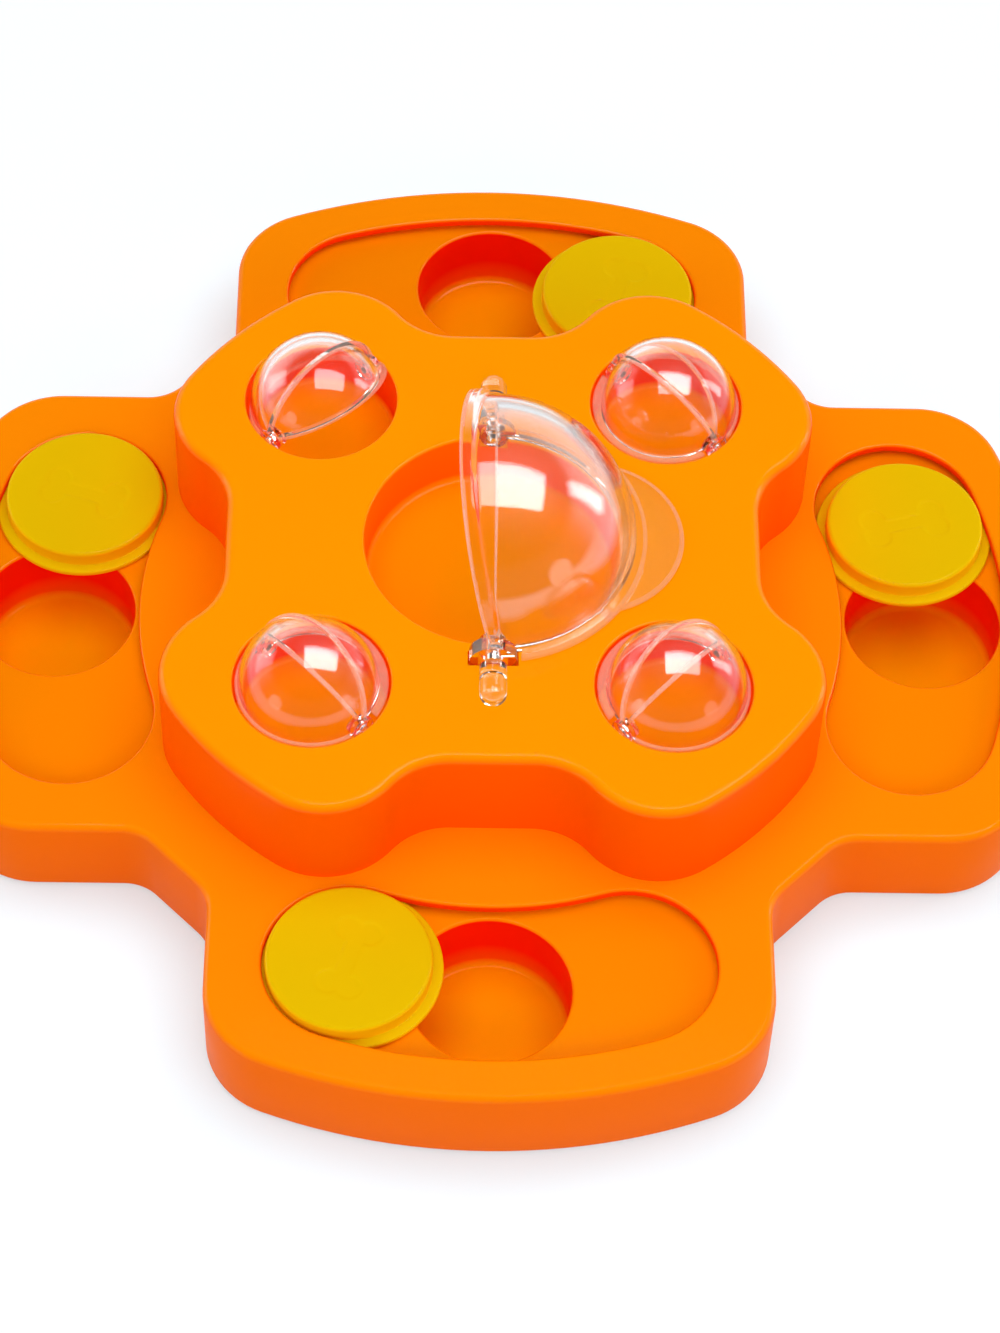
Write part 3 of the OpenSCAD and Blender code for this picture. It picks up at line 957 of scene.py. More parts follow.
@dataclass
class BaseTray(Part):
    """The closing tray with track floors and treat wells.

    Attributes:
        inset: how far its edge lies inside the cover's face.
        plate: the height of its plate's top.
        mesa: the half width of a raised track floor.
        cavity: the half width of the recess for the flange, and of the hollow below.
        hollow: the height of that hollow's roof.
        mouth: the radius of a well's upper edge.
        root: the radius where a well's wall meets its floor.
        well_out: the outer radius of a well's wall.
        rib: how far a rib reaches from its crossing, and half its thickness.
        foot: the radius and the depth of a foot's recess.
        counterbore: the radius of a screw's counterbore.
        below: where the cutters start, below the floor.
        past: how high the ribs and the wells' walls reach, into the hollow's roof.
    """

    inset: float = 2.7
    plate: float = 2.8
    mesa: float = 26.6
    cavity: float = 24.4
    hollow: float = 21.1
    mouth: float = 0.9
    root: float = 2.2
    well_out: float = 22.8
    rib: Level = (28.0, 0.8)
    foot: Level = (13.1, 1.8)
    counterbore: float = 2.7
    below: float = -1.0
    past: float = 21.5

    def body(self) -> Object:
        """Builds the plate with its track floors and wells, still solid below.

        Returns:
            The new object.
        """
        p, skin = self.plan, Skin()
        rim = skin.walls(p.base, [(self.inset, p.base_z), (self.inset, self.plate)])
        top, lip = [rim[-1]], p.lip_z - 0.1
        for q in QUARTERS:
            rings = skin.walls(partial(p.track, lobe=q), [
                (self.mesa, self.plate), (self.mesa, lip), (self.cavity, lip), (self.cavity, p.floor_z)])
            top.append(rings[0])
            well = skin.walls(partial(circle, centre=p.on_track(q)),
                              cup(p.well_r, p.floor_z, self.mouth, self.plate, self.root))
            skin.plane(rings[-1], well[0])
            skin.cap(well[-1])
        skin.plane(*top)
        skin.plane(rim[0])
        return skin.done("base_tray_moulding")

    def build(self) -> None:
        """Builds and dresses the moulding, hollowed from below between its ribs and wells."""
        p, piece = self.plan, self.body()
        hollows, tubes, ribs, cuts = Skin(), Skin(), Skin(), Skin()
        for q in QUARTERS:
            for ring in hollows.walls(partial(p.track, lobe=q), [
                    (self.cavity, -GUARD), (self.cavity, self.hollow)]):
                hollows.plane(ring)
            x, y = p.on_track(q)
            tubes.rod(self.well_out, (x, y, self.below), (x, y, self.past), 72)
            cuts.rod(self.foot[0], (x, y, self.below), (x, y, self.foot[1]), 64)
            for turn in (q - p.track_angle, q + p.track_angle):
                for u, v in (self.rib, self.rib[::-1]):
                    loop = turned(oblong(p.track_r - u, -v, p.track_r + u, v), turn)
                    ribs.stack([ribs.level(loop, z) for z in (self.below, self.past)], capped=True)
        for x, y in p.screws():
            cuts.rod(self.counterbore, (x, y, self.below), (x, y, p.counterbore), 32)
        hollow = hollows.done("tray_hollows")
        carve(hollow, (Cut.AWAY, tubes))
        carve(hollow, (Cut.AWAY, ribs), crossed=True)
        carve(piece, (Cut.AWAY, hollow))
        carve(piece, (Cut.AWAY, cuts))

        def in_well(x: float, y: float, z: float) -> int:
            """Tells whether a place is on a well's wall or floor."""
            near = min(math.hypot(x - u, y - v) for u, v in map(p.on_track, QUARTERS))
            return int(near < p.well_r + 0.4 and 2.0 < z < p.floor_z - 0.2)

        # The wells take their own copy of the plastic: walls painted deep red higher up for shade and lighter
        # low down for bounce light, and a lighter floor as painted light.
        dress(piece, "base", ["base_tray"], Finish.TRACK, Finish.WELL, faces=areas(piece, in_well))


@dataclass
class Platform(Part):
    """The raised clover moulding with the bowl, the small pockets and the lids' seats.

    Attributes:
        edge: the radius of its upper outer edge.
        bowl_edge: the radius of the bowl's upper edge.
        pocket_edge: the radius of a small pocket's upper edge.
        root: the radius where a cup's wall meets its floor.
        over: a height above everything that is cut.
        seat: an ear's seat: half its width, its near and far end and its floor.
        notch: the same for the notch towards the bowl.
        groove: the radius, near and far end of a spigot's groove.
        pin: how far from a pocket's middle a pin's bore starts and ends.
    """

    edge: float = 2.8
    bowl_edge: float = 0.9
    pocket_edge: float = 0.8
    root: float = 2.0
    over: float = 61.0
    seat: tuple[float, float, float, float] = (6.5, 36.2, 40.7, 52.3)
    notch: tuple[float, float, float, float] = (3.9, 30.0, 36.5, 54.9)
    groove: tuple[float, float, float] = (2.1, 30.0, 42.0)
    pin: Level = (19.2, 22.9)

    def build(self) -> None:
        """Builds and dresses the moulding."""
        p, skin = self.plan, Skin()
        places = [(0.0, p.base_top)] + quarter((0, p.top - self.edge), (self.edge, p.top), 10, True)
        outside = skin.walls(p.platform, places + [(self.edge + GUARD, p.top)])
        skin.plane(outside[0])
        above = [outside[-1]]
        cups = [(p.bowl_r, self.bowl_edge, (0.0, 0.0))]
        cups += [(p.pocket_r, self.pocket_edge, p.pocket(a)) for a in CORNERS.values()]
        for r, edge, at in cups:
            rings = skin.walls(partial(circle, centre=at, steps=120),
                               cup(r, p.top, edge, p.cup_floor, self.root))
            above.append(rings[0])
            skin.cap(rings[-1])
        skin.plane(*above)
        piece = skin.done("platform_moulding")
        seats, notches, pins = Skin(), Skin(), Skin()
        for s in (-1, 1):
            for tool, (half, near, far, floor) in ((seats, self.seat), (notches, self.notch)):
                low, high = sorted((s * near, s * far))
                tool.block((-half, low, floor), (half, high, self.over))
            for a in CORNERS.values():
                side = Vector((*polar(1.0, a + 90), 0)) * s
                at = Vector((*p.pocket(a), p.pin_axis))
                pins.rod(p.pin_bore, at + side * self.pin[0], at + side * self.pin[1], 24)
        radius, near, far = self.groove
        carve(piece, *((Cut.AWAY, tool) for tool in (
            seats, notches, pair(radius, near, far, p.lid_axis), pins)))

        def cup_of(x: float, y: float, z: float) -> int:
            """Tells which cup a face is in.

            Args:
                x: the x of its middle.
                y: its y.
                z: its height.

            Returns:
                1 in the bowl, 2 in a small pocket and 0 elsewhere.
            """
            if z > p.top - 0.4:
                return 0
            if math.hypot(x, y) < p.bowl_r + 0.3:
                return 1
            return 2 * any(math.dist((x, y), p.pocket(a)) < p.pocket_r + 0.3 for a in CORNERS.values())

        # The bowl and the small pockets take their own copies of the plastic, with their own painted light and
        # shade; the pockets' walls are painted deeper red for the shade under the lids.
        nodes = ["platform_plate", "platform_wall", "platform_posts", "bowl_cup"]
        dress(piece, "base", nodes + [f"pocket_cup_{corner}" for corner in CORNERS], Finish.PLATFORM,
              Finish.CUP, Finish.POCKET, faces=areas(piece, cup_of))


@dataclass
class Slider(Part):
    """A yellow disc on a flange, with a shallow bone sunk in its top.

    Attributes:
        side: the side of the toy that it is on.
        angle: where it rests on its track.
        disc_r: the disc's radius.
        flange_r: the flange's radius.
        flange_z: the heights of the flange's underside and top.
        top: the height of the disc's top.
        edge: the radius of the disc's upper edge.
        sunk: how deep the bone is sunk.
        knob: half the distance between the bone's knobs along and across it, and their radius.
        shaft: half the width of its shaft.
        soft: the width of its sloping edge.
    """

    side: str
    angle: float
    disc_r: float = 21.2
    flange_r: float = 23.9
    flange_z: Level = (23.1, 24.6)
    top: float = 29.1
    edge: float = 1.1
    sunk: float = 0.2
    knob: tuple[float, float, float] = (8.2, 2.7, 3.4)
    shaft: float = 2.1
    soft: float = 0.8

    def relief(self, x: float, y: float) -> float:
        """Measures the relief of the bone, whose length lies along x.

        Args:
            x: a place's x from the disc's middle.
            y: its y.

        Returns:
            How deep the top is sunk there.
        """
        u, v = abs(x), abs(y)
        along, across, radius = self.knob
        reach = min(math.hypot(u - along, v - across) - radius, max(u - along, v - self.shaft))
        return self.sunk * eased((self.soft / 2 - reach) / self.soft)

    def build(self) -> None:
        """Builds and dresses the slider."""
        skin, round_of = Skin(), partial(circle, steps=144)
        under, over = self.flange_z
        profile = [(self.flange_r - 0.4, under), (self.flange_r, under + 0.4)]
        profile += quarter((self.flange_r, over - 0.6), (self.flange_r - 0.6, over), 4, True)
        profile += quarter((self.disc_r + 0.3, over), (self.disc_r, over + 0.3), 3, False)
        profile += quarter((self.disc_r, self.top - self.edge), (self.disc_r - self.edge, self.top), 7, True)
        rim, rows = self.disc_r - self.edge - GUARD, 42
        rings = skin.walls(round_of, profile + [(rim, self.top)])
        skin.bm.faces.new(rings[0])
        face = [skin.ring((x, y, self.top - self.relief(x, y)) for x, y in round_of(rim * (1 - i / rows)))
                for i in range(1, rows)]
        skin.stack([rings[-1]] + face)
        skin.cap(face[-1], self.top - self.sunk)
        place = Matrix.Translation((*self.plan.on_track(self.angle), 0)) @ Matrix.Rotation(
            math.radians(self.angle), 4, "Z")
        name = f"slider_{self.side}"
        dress(skin.done(name + "_disc", place), name, [name], Finish.YELLOW)


@dataclass
class DomeShell:
    """Part of a clear dome that turns about an axis along its own Y.

    Attributes:
        node: the node that it stands for, which is also its body.
        place: where its axis lies, in millimetres.
        outer: the outer radius.
        inner: the inner radius.
        last: the angle of its cut edge, up from its own +X, where its lower edge lies.
        lip: how far a lip along the cut edge stands out, how wide it is and how wide its slope.
        frost: the width of the finely ground band along the cut edge.
        milky: the frosted rings of its flange and tab, as centre, inner and outer radius.
        around: how many rows of faces its finer part has towards the cut edge.
        along: how many it has along the axis.
    """

    node: str
    place: Matrix
    outer: float
    inner: float
    last: float
    lip: tuple[float, float, float] = (0.0, 1.0, 1.0)
    frost: float = 0.3
    milky: tuple[tuple[float, float, float], ...] = ()
    around: int = 56
    along: int = 72

    def point(self, radius: float, tilt: float, turn: float) -> Vector:
        """Gives a point on a sphere by its tilt towards the axis and its turn about it, in radians."""
        return Vector((radius * math.cos(tilt) * math.cos(turn), radius * math.sin(tilt),
                       radius * math.cos(tilt) * math.sin(turn)))

    def skin(self) -> Skin:
        """Builds the shell's closed mesh, with rounded cut edges.

        Returns:
            The mesh under construction.
        """
        skin = Skin()
        fine, coarse = self.last * 0.62, self.around // 3
        steps = [math.radians(fine * i / coarse) for i in range(coarse)]
        steps += [math.radians(fine + (self.last - fine) * i / self.around) for i in range(self.around + 1)]
        thick = self.outer - self.inner
        bulge = [(f, math.sin(math.pi * f) * thick * 0.22 / self.outer) for f in (0.2, 0.5, 0.8)]

        def stand(tilt: float, turn: float) -> float:
            """Gives the lip's height by the distance to the plane of the cut edge.

            Args:
                tilt: a place's tilt towards the axis, in radians.
                turn: its turn about the axis, in radians.

            Returns:
                How far the surface stands out there.
            """
            high, wide, slope = self.lip
            gap = math.sin(math.radians(self.last) - turn) * math.cos(tilt) * self.outer
            return high * eased((wide - gap) / slope) if turn > steps[coarse - 1] else 0.0

        rings = []
        for tilt in (math.pi * (i / self.along - 0.5) for i in range(1, self.along)):
            top = self.outer + stand(tilt, steps[-1])
            row = [self.point(self.outer + stand(tilt, turn), tilt, turn) for turn in steps]
            row += [self.point(top + (self.inner - top) * f, tilt, steps[-1] + out) for f, out in bulge]
            row += [self.point(self.inner, tilt, turn) for turn in reversed(steps)]
            row += [self.point(self.inner + thick * f, tilt, steps[0] - out) for f, out in bulge]
            rings.append(skin.ring(row))
        skin.stack(rings)
        count = len(steps)
        for ring, s in ((rings[0], -1), (rings[-1], 1)):
            out, inn = (skin.bm.verts.new((0, s * r, 0)) for r in (self.outer, self.inner))
            for i in range(count - 1):
                j = count + 3 + i
                skin.bm.faces.new((ring[i], ring[i + 1], out))
                skin.bm.faces.new((ring[j], ring[j + 1], inn))
            for start, (a, b) in ((count - 1, (out, inn)), (2 * count + 2, (inn, out))):
                c = [ring[(start + k) % len(ring)] for k in range(5)]
                for face in ((c[0], c[1], a), (c[1], c[2], a), (c[2], b, a), (c[2], c[3], b),
                             (c[3], c[4], b)):
                    skin.bm.faces.new(face)
        return skin

    def flange(self, outer: float, inner: float, low: float, high: float, limit: float) -> Skin:
        """Builds the flat rim flange.

        Args:
            outer: its outer radius.
            inner: its inner radius.
            low: the height of its underside.
            high: the height of its top.
            limit: how far short of the axis its ends stay.

        Returns:
            The mesh under construction.
        """
        skin = Skin()
        edge = min(0.35, (high - low) / 3)
        band = min(1.1, (outer - inner) / 2)
        places = [(outer - edge, low), (outer, low + edge), (outer, high - edge), (outer - edge, high),
                  (outer - band, high), (inner, high), (inner, low)]
        rings = []
        for r, z in places:
            span = math.degrees(math.acos(limit / r))
            rings.append(skin.level(arc((0, 0), r, -span, span, 72), z))
        skin.stack(rings + rings[:1], closed=False)
        for end in (0, -1):
            skin.bm.faces.new([ring[end] for ring in rings])
        return skin

    def bore(self, radius: float, reach: float) -> Skin:
        """Builds what drills the ears.

        Args:
            radius: the bore's radius.
            reach: how far it reaches on each side of the middle.

        Returns:
            The mesh under construction.
        """
        skin = Skin()
        skin.rod(radius, (0, -reach, 0), (0, reach, 0), 32)
        return skin

    def build(self, *stages: Sequence[tuple[Cut, Skin | Object]]) -> None:
        """Builds the shell about its own axis, joins and cuts its details, puts it in place and dresses it.

        Args:
            stages: the details, each stage settled before the next.
        """
        piece = self.skin().done(self.node + "_shell")
        for tools in stages:
            carve(piece, *tools)
        last = math.radians(self.last)

        def ground(x: float, y: float, z: float) -> int:
            """Tells which finish a face has.

            Args:
                x: the x of its middle.
                y: its y.
                z: its height.

            Returns:
                2 on the frosted rings, 1 along the cut edge and 0 elsewhere.
            """
            if z < 1.3 and x > 4.0 and any(
                    low < math.hypot(x - at, y) < high for at, low, high in self.milky):
                return 2
            cut = x * math.sin(last) - z * math.cos(last) < self.frost
            return int(cut and z > 3.0 and math.hypot(x, y, z) > self.inner - 0.6)

        faces = areas(piece, ground)
        piece.data.transform(Matrix.Scale(MM, 4) @ self.place @ Matrix.Scale(1 / MM, 4))
        piece.data.update()
        shade(piece)
        dress(piece, self.node, [self.node], Finish.CLEAR, Finish.EDGE, Finish.RIM, faces=faces)


@dataclass
class CentreLid(Part):
    """The two nested shells over the bowl, with a rim flange and a grip tab on the outer one.

    Attributes:
        below: how far the flange and the tab reach below the axis.
        tab_at: where the tab's centre lies.
        bore: the radius of the hinge bores.
    """

    below: float = 0.5
    tab_at: float = 25.3
    bore: float = 2.06

    def tab(self) -> Object:
        """Builds the round tab, cut clear of the dome's inside.

        Returns:
            The new object.
        """
        skin, hole = Skin(), Skin()
        skin.walls(partial(circle, centre=(self.tab_at, 0), steps=120), [
            (24.1, -self.below), (24.5, 0.4 - self.below), (24.5, 0.3), (24.1, 0.7), (23.3, 0.7)],
            capped=True)
        hole.rod(36.3, (0, 0, -5), (0, 0, 5), 120)
        tab = skin.done("tab")
        carve(tab, (Cut.AWAY, hole))
        return tab

    def build(self) -> None:
        """Builds both shells."""
        place = Matrix.Translation((0, 0, self.plan.lid_axis))
        outer = DomeShell("centre_lid_outer", place, 37.4, 35.8, 104.0, (1.45, 4.3, 1.6), 0.5,
                          ((0.0, 39.0, 40.4), (self.tab_at, 23.2, 24.7)), 72, 96)
        outer.build([(Cut.JOIN, outer.flange(40.2, 36.1, -self.below, 1.2, 7.2)),
                     (Cut.JOIN, pair(6.2, 36.5, 40.4))],
                    [(Cut.JOIN, self.tab())], [(Cut.AWAY, outer.bore(self.bore, 42))])
        inner = DomeShell("centre_lid_inner", place, 35.4, 33.9, 90.0, frost=0.4, around=72, along=96)
        inner.build([(Cut.JOIN, pair(3.6, 33.3, 35.4)), (Cut.AWAY, inner.bore(self.bore, 42))])


@dataclass
class SmallLid(Part):
    """The two nested shells over a small pocket.

    Attributes:
        corner: the name of its corner.
        raised: how far its inner shell rests open.
        lowered: how far its outer shell rests below level.
    """

    corner: str
    raised: float = 0.0
    lowered: float = 0.0

    def place(self, lift: float, far: bool) -> Matrix:
        """Gives the place of a shell.

        Args:
            lift: how far it is turned up about the pins, in degrees.
            far: whether it is on the pocket's far side from the middle.

        Returns:
            Its turn and its shift, in millimetres.
        """
        angle = CORNERS[self.corner]
        spin = Matrix.Rotation(math.radians(angle) + (0 if far else math.pi), 4, "Z")
        at = Matrix.Translation((*self.plan.pocket(angle), self.plan.pin_axis))
        return at @ spin @ Matrix.Rotation(math.radians(-lift), 4, "Y")

    def build(self) -> None:
        """Builds both shells."""
        outer = DomeShell(f"lid_outer_{self.corner}", self.place(-self.lowered, True), 19.0, 17.8, 108.0,
                          (0.3, 1.3, 0.5), 1.0, ((0.0, 18.1, 19.8),))
        outer.build([(Cut.JOIN, outer.flange(19.6, 18.2, 0.0, 1.2, 4.2)), (Cut.JOIN, pair(3.2, 17.9, 19.4)),
                     (Cut.AWAY, outer.bore(self.plan.pin_bore, 20))])
        inner = DomeShell(f"lid_inner_{self.corner}", self.place(self.raised, False), 17.4, 16.3, 108.0,
                          frost=1.0, milky=((0.0, 17.5, 19.8),))
        inner.build([(Cut.JOIN, inner.flange(19.6, 16.8, 0.0, 1.2, 4.8)), (Cut.JOIN, pair(3.0, 15.7, 16.9)),
                     (Cut.JOIN, pair(1.0, 16.0, 22.6, steps=32, edge=0.2))])


@dataclass
class HingeClip(Part):
    """A clear half-round clip that holds the centre lid's spigot.

    Attributes:
        side: the side of the toy that it is on.
        sign: -1 at the front, 1 at the back.
        radius: its radius.
        near: how far from the middle it starts.
        far: how far from the middle its round end reaches.
        groove: where a groove starts and ends, and its depth.
        gap: its height above the platform's top.
    """

    side: str
    sign: int
    radius: float = 3.5
    near: float = 41.0
    far: float = 53.5
    groove: tuple[float, float, float] = (45.4, 46.4, 0.45)
    gap: float = 0.05

    def build(self) -> None:
        """Builds and dresses the clip."""
        skin, s, z = Skin(), self.sign, self.plan.lid_axis
        start, end, deep = self.groove
        places = [(self.near, self.radius - 0.5), (self.near + 0.4, self.radius), (start, self.radius),
                  (start + 0.15, self.radius - deep), (end - 0.15, self.radius - deep), (end, self.radius)]
        far = self.far - self.radius
        places += [(far + u, v) for v, u in (polar(self.radius, 10 * i) for i in range(9))]
        rings = []
        for y, r in places:
            low = math.degrees(math.asin(min(z - self.plan.top - self.gap, r * 0.95) / r))
            rings.append(skin.ring((x, s * y, z + up) for x, up in arc((0, 0), r, -low, 180 + low, 28)))
        skin.stack(rings, capped=True)
        piece = skin.done(f"hinge_clip_{self.side}_moulding")
        spigot = Skin()
        spigot.rod(2.0, (0, s * 33.3, z), (0, s * 43.0, z), 40, edge=0.3)
        carve(piece, (Cut.JOIN, spigot))
        dress(piece, "base", [f"hinge_clip_{self.side}"], Finish.CLEAR)


# Repeats by nodes


class Growth(Nodes):
    """A geometry tree that a piece's modifier runs, with named sizes.

    Attributes:
        sizes: the values of the named sizes, in metres.
        start: the node that gives the piece's mesh and the sizes.
    """

    def __init__(self, name: str, **sizes: float) -> None:
        """Makes the tree, with each size as an input.

        Args:
            name: how the tree's name starts.
            sizes: the sizes in millimetres, by name with _ for a space.
        """
        super().__init__(bpy.data.node_groups.new(name + "_growth", "GeometryNodeTree"))
        self.sizes = {key.replace("_", " "): value * MM for key, value in sizes.items()}
        face = self.tree.interface
        face.new_socket("Geometry", in_out="INPUT", socket_type="NodeSocketGeometry")
        for key, value in self.sizes.items():
            face.new_socket(key, in_out="INPUT", socket_type="NodeSocketFloat").default_value = value
        face.new_socket("Geometry", in_out="OUTPUT", socket_type="NodeSocketGeometry")
        self.start = self.add("NodeGroupInput")

    def times(self, name: str, share: float) -> Node:
        """Gives a named size times a share."""
        return self.add("Math", {"operation": "MULTIPLY"}, i0=self.start.outputs[name], i1=share)

    def moved(self, shape: Node, turn: Sequence[float] = (0, 0, 0), **shift: object) -> Node:
        """Turns a shape and shifts it along its named axes."""
        return self.add("GeometryNodeTransform", Geometry=shape, Rotation=turn,
                        Translation=self.add("CombineXYZ", **shift))

    def run(self, piece: Object, grown: Node, finish: Finish) -> None:
        """Ends the tree, runs it on a piece and turns the result into plain mesh.

        Args:
            piece: the piece whose mesh the tree reads, and which gets the new mesh.
            grown: the node that gives the grown geometry.
            finish: the finish that the tree sets.
        """
        real = self.add("GeometryNodeRealizeInstances", Geometry=grown)
        dressed = self.add("GeometryNodeSetMaterial", Geometry=real, Material=finish.recipe.material())
        self.add("NodeGroupOutput", Geometry=dressed)
        modifier = piece.modifiers.new("growth", "NODES")
        modifier.node_group = self.tree
        for item in self.tree.interface.items_tree:
            if item.in_out == "INPUT" and item.name in self.sizes:
                modifier[item.identifier] = self.sizes[item.name]
        settled(piece)


@dataclass
class ScrewSet:
    """Pan-head screws that all stand on one level, pointing up.

    Attributes:
        name: the node that they stand for.
        places: where they stand.
        seat: the height of their heads' seats.
        head: the radius and the height of a head.
        shaft: the radius and the length of a shaft.
        drive: the depth of the crossed drive.
    """

    name: str
    places: Sequence[tuple[float, float]]
    seat: float
    head: Level = (2.4, 1.8)
    shaft: Level = (1.25, 10.0)
    drive: float = 0.9

    def build(self) -> None:
        """Builds the screws on points, with a crossed drive in each head."""
        mesh = bpy.data.meshes.new(self.name + "_points")
        mesh.from_pydata([(x * MM, y * MM, self.seat * MM) for x, y in self.places], [], [])
        piece = shown(self.name + "_set", mesh)
        g = Growth(self.name, Head_radius=self.head[0], Head_height=self.head[1], Shaft_radius=self.shaft[0],
                   Shaft_length=self.shaft[1], Drive_depth=self.drive)
        size = g.start.outputs
        head = g.add("GeometryNodeMeshCylinder", Vertices=40, Radius=size["Head radius"],
                     Depth=size["Head height"])
        slots = []
        for turn in (0.0, math.pi / 2):
            bar = g.add("GeometryNodeMeshCube", Size=g.add(
                "CombineXYZ", X=g.times("Head radius", 1.3), Y=g.times("Head radius", 0.26),
                Z=g.times("Drive depth", 2.0)))
            slots.append(g.moved(bar, (0, 0, turn), Z=g.times("Head height", -1.0)))
        cut = g.add("GeometryNodeMeshBoolean", {"operation": "DIFFERENCE"},
                    i0=g.moved(head, Z=g.times("Head height", -0.5)), i1=slots)
        shaft = g.add("GeometryNodeMeshCylinder", Vertices=24, Radius=size["Shaft radius"],
                      Depth=size["Shaft length"])
        screw = g.add("GeometryNodeJoinGeometry",
                      Geometry=[g.moved(shaft, Z=g.times("Shaft length", 0.5)), cut])
        g.run(piece, g.add("GeometryNodeInstanceOnPoints", Points=size["Geometry"], Instance=screw),
              Finish.STEEL)
        dress(piece, "base", [self.name], Finish.STEEL)


@dataclass
class Foot:
    """A round rubber foot with rings of grip studs under it.

    Attributes:
        side: the side of the toy that it is on.
        at: its centre.
        radius: its radius.
        low: the height of its flat underside.
        height: the height of its top.
        edge: the radius of its lower edge.
        stud: the radius and the height of a stud.
        margin: how far the outer ring of studs lies inside its edge.
        rings: each ring's share of the outer one's radius, and its number of studs.
    """

    side: str
    at: tuple[float, float]
    radius: float = 13.0
    low: float = 0.25
    height: float = 1.8
    edge: float = 0.4
    stud: Level = (0.55, 0.3)
    margin: float = 2.2
    rings: tuple[tuple[float, int], ...] = ((1.0, 30), (0.72, 22), (0.44, 14), (0.16, 5))

    def build(self) -> None:
        """Builds the disc and grows its studs on it."""
        name, skin = f"foot_{self.side}", Skin()
        edge = quarter((self.radius - self.edge, self.low), (self.radius, self.low + self.edge), 3, False)
        skin.walls(partial(circle, centre=self.at, steps=72), edge + [(self.radius, self.height)],
                   capped=True)
        piece = skin.done(name + "_pad")
        g = Growth(name, Outer_ring=self.radius - self.margin, Stud_radius=self.stud[0],
                   Stud_height=self.stud[1], Centre_X=self.at[0], Centre_Y=self.at[1])
        size = g.start.outputs
        spots = g.add("GeometryNodeJoinGeometry", Geometry=[
            g.add("GeometryNodeMeshCircle", Vertices=count, Radius=g.times("Outer ring", share))
            for share, count in self.rings])
        cone = g.add("GeometryNodeMeshCone", Vertices=12, Radius_Top=g.times("Stud radius", 0.7),
                     Radius_Bottom=size["Stud radius"], Depth=size["Stud height"])
        stud = g.moved(cone, (math.pi, 0, 0), Z=size["Stud height"])
        grown = g.moved(g.add("GeometryNodeInstanceOnPoints", Points=spots, Instance=stud),
                        X=size["Centre X"], Y=size["Centre Y"])
        g.run(piece, g.add("GeometryNodeJoinGeometry", Geometry=[grown, size["Geometry"]]), Finish.RUBBER)
        dress(piece, "base", [name], Finish.RUBBER)


# Studio


@dataclass(frozen=True)
class Lamp:
    """A soft lamp that the camera doesn't see.

    Attributes:
        name: its name.
        at: its place, in metres.
        size: its width and height, in metres.
        level: how bright its face is, where 1 is white.
        aim: the height above the middle of the toy that it faces, in metres, or None to face straight down.
        oval: whether it is an ellipse.
        unmet: the other kinds of rays that don't meet it.
    """

    name: str
    at: tuple[float, float, float]
    size: tuple[float, float]
    level: float
    aim: float | None = None
    oval: bool = False
    unmet: tuple[str, ...] = ()

    def hang(self) -> None:
        """Puts the lamp in the scene."""
        data = bpy.data.lights.new(self.name, "AREA")
        data.shape = "ELLIPSE" if self.oval else "RECTANGLE"
        data.size, data.size_y = self.size
        data.energy = self.level * math.pi * self.size[0] * self.size[1] * (math.pi / 4 if self.oval else 1)
        lamp = shown(self.name, data)
        lamp.location = self.at
        for kind in ("camera", *self.unmet):
            setattr(lamp, f"visible_{kind}", False)
        if self.aim is not None:
            lamp.rotation_euler = (Vector((0.0, 0.0, self.aim)) - Vector(self.at)).to_track_quat(
                "-Z", "Y").to_euler()


SOFT = ("glossy", "transmission")
LAMPS = (
    Lamp("overhead_softbox", (0.08, 0.0, 1.15), (1.3, 1.1), 2.12, unmet=SOFT),
    Lamp("front_softbox", (0.0, -1.3, 0.85), (1.6, 0.7), 2.2, 0.03, unmet=SOFT),
    Lamp("left_softbox", (-1.15, -1.0, 0.55), (0.9, 0.7), 1.55, 0.02, unmet=SOFT),
    Lamp("right_softbox", (1.15, -1.0, 0.55), (0.9, 0.7), 2.1, 0.02, unmet=SOFT),
    Lamp("overhead_glint", (0.24, 0.10, 0.94), (0.9, 0.6), 7.0, unmet=("diffuse",)),
    Lamp("right_strip", (1.45, 0.55, 0.45), (0.3, 0.9), 5.0, 0.05),
    Lamp("left_strip", (-1.45, 0.55, 0.45), (0.6, 0.9), 2.0, 0.05),
    Lamp("right_fill", (1.15, -0.85, 0.2), (0.5, 0.5), 1.2, 0.05, True),
    Lamp("left_fill", (-1.15, -0.85, 0.2), (0.5, 0.5), 1.6, 0.05, True),
)


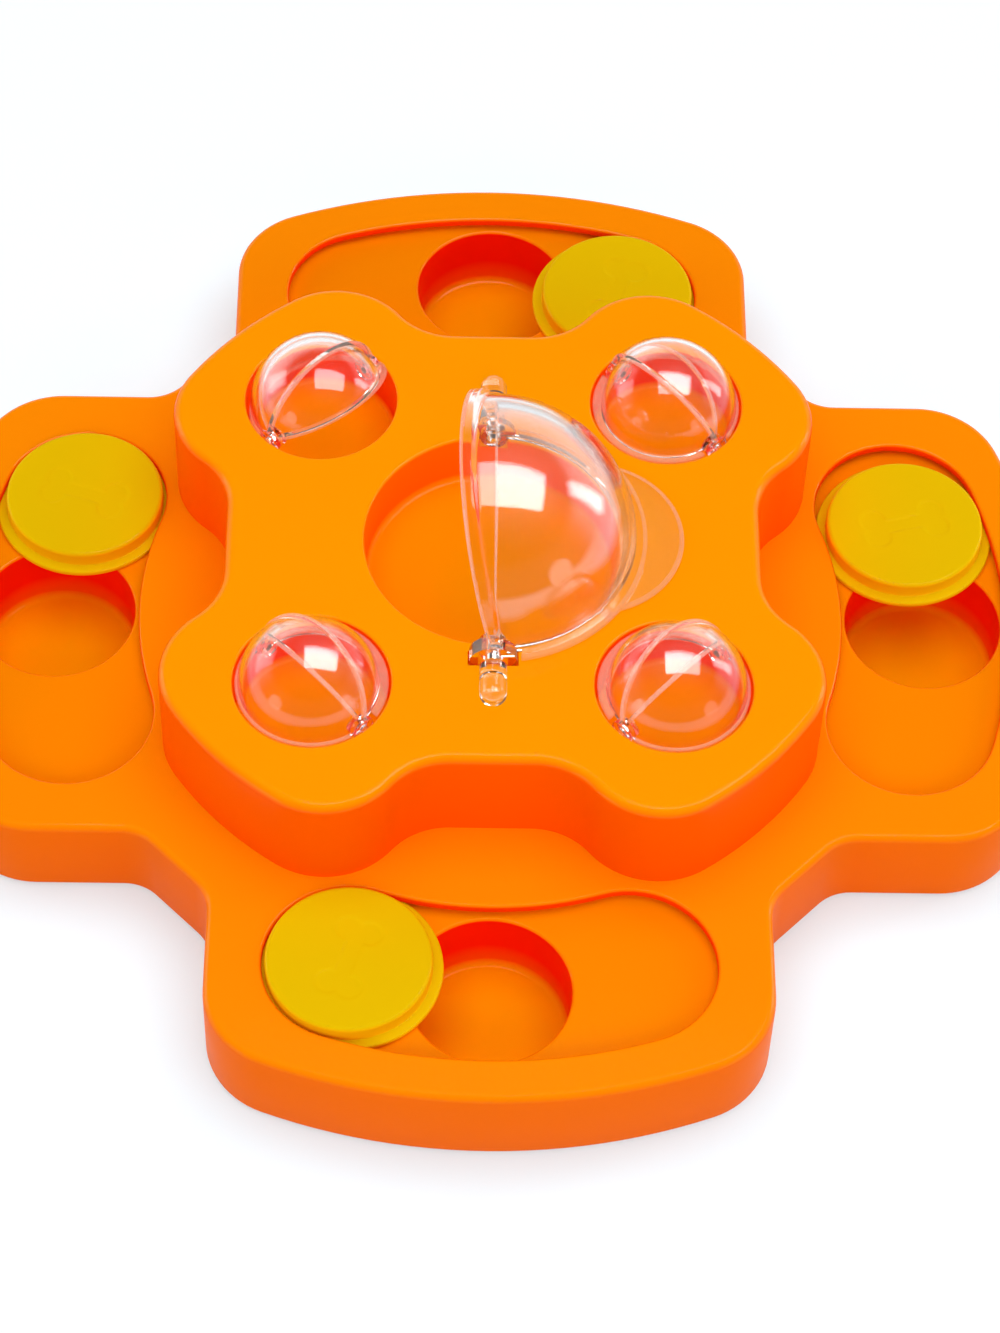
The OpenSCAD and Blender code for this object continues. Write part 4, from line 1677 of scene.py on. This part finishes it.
@dataclass
class Studio:
    """The floor, the lamps, the world and the camera.

    Attributes:
        aim: the point that the camera faces, in millimetres.
        distance: how far from it the camera stands.
        azimuth: the camera's angle to the right of the front, in degrees.
        height: its angle above level.
        roll: its roll.
        lens: its focal length.
        floor_half: half the floor's width.
        sky: the heights of the sky, from level to straight up, and their levels.
    """

    aim: tuple[float, float, float] = (2.57, -15.34, 21.84)
    distance: float = 1065.75
    azimuth: float = -1.826
    height: float = 54.683
    roll: float = 2.29
    lens: float = 144.03
    floor_half: float = 6000.0
    sky: tuple[Level, ...] = ((0.0, 1.3), (0.38, 1.2), (0.52, 0.12), (1.0, 0.05))

    def floor(self) -> None:
        """Lays the wide floor."""
        skin, half = Skin(), self.floor_half
        skin.bm.faces.new(skin.level(oblong(-half, -half, half, half), 0.0))
        floor = skin.done("studio_floor")
        floor.data.materials.append(PaleFloor("floor_white").material())

    def world(self) -> None:
        """Sets a graded sky, darker in front; gloss and clear plastic show it, and the camera sees white."""
        world = bpy.data.worlds.new("studio_world")
        world.use_nodes = True
        n = Nodes(world.node_tree)
        way = n.add("SeparateXYZ", Vector=n.add("TexCoord").outputs["Generated"])
        stops = [(at, grey(level)) for at, level in self.sky]
        sky = n.add("ValToRGB", {"stops": stops}, Fac=way.outputs["Z"])
        behind = n.add("MapRange", {"interpolation_type": "SMOOTHSTEP"}, Value=way.outputs["Y"],
                       From_Min=-0.3, From_Max=0.3, To_Min=0.08, To_Max=1.0)
        back = n.add("Background", Color=sky, Strength=behind)
        graded = n.add("Math", {"operation": "MULTIPLY"}, i0=sky, i1=behind)
        white = n.add("Math", {"operation": "MAXIMUM"}, i0=n.rays("Camera"), i1=graded)
        sight = n.add("Background", Color=grey(1.0), Strength=white)
        watched = n.rays("Camera", "Glossy", "Transmission")
        n.add("OutputWorld", Surface=n.add("MixShader", i0=watched, i1=back, i2=sight))
        bpy.context.scene.world = world

    def camera(self) -> None:
        """Sets the camera on its ray through the aim, with its roll."""
        az, el, roll = (math.radians(v) for v in (self.azimuth, self.height, self.roll))
        back = Vector((math.sin(az) * math.cos(el), -math.cos(az) * math.cos(el), math.sin(el)))
        right = Vector((math.cos(az), math.sin(az), 0))
        up = right.cross(-back)
        across = right * math.cos(roll) + up * math.sin(roll)
        above = up * math.cos(roll) - right * math.sin(roll)
        data = bpy.data.cameras.new("camera")
        data.sensor_fit, data.sensor_width, data.lens = "HORIZONTAL", 36.0, self.lens
        data.clip_start, data.clip_end = 0.05, 50.0
        camera = shown("camera", data)
        spin = Matrix((across, above, back)).transposed().to_4x4()
        camera.matrix_world = Matrix.Translation((Vector(self.aim) + back * self.distance) * MM) @ spin
        bpy.context.scene.camera = camera

    def build(self) -> None:
        """Sets up the whole studio."""
        bpy.context.scene.view_settings.view_transform = "Standard"
        self.floor()
        for lamp in LAMPS:
            lamp.hang()
        self.world()
        self.camera()


def main() -> None:
    """Builds every piece in order."""
    logging.basicConfig(level=logging.INFO, format="%(name)s: %(message)s")
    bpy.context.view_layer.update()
    plan = Plan()
    Studio().build()
    BaseCover(plan).build()
    BaseTray(plan).build()
    Platform(plan).build()
    for side, angle in (("front", 252.2), ("right", 14.5), ("back", 72.2), ("left", 162.2)):
        Slider(plan, side, angle).build()
    CentreLid(plan).build()
    for corner in ("back_right", "front_left", "front_right"):
        SmallLid(plan, corner).build()
    SmallLid(plan, "back_left", raised=38.0, lowered=16.0).build()
    HingeClip(plan, "front", -1).build()
    HingeClip(plan, "back", 1).build()
    for side, angle in SIDES.items():
        Foot(side, plan.on_track(angle)).build()
    ScrewSet("tray_screws", plan.screws(), plan.counterbore).build()
    ScrewSet("platform_screws", [polar(plan.platform_screw, q) for q in QUARTERS], plan.lip_z).build()


if __name__ == "__main__":
    main()
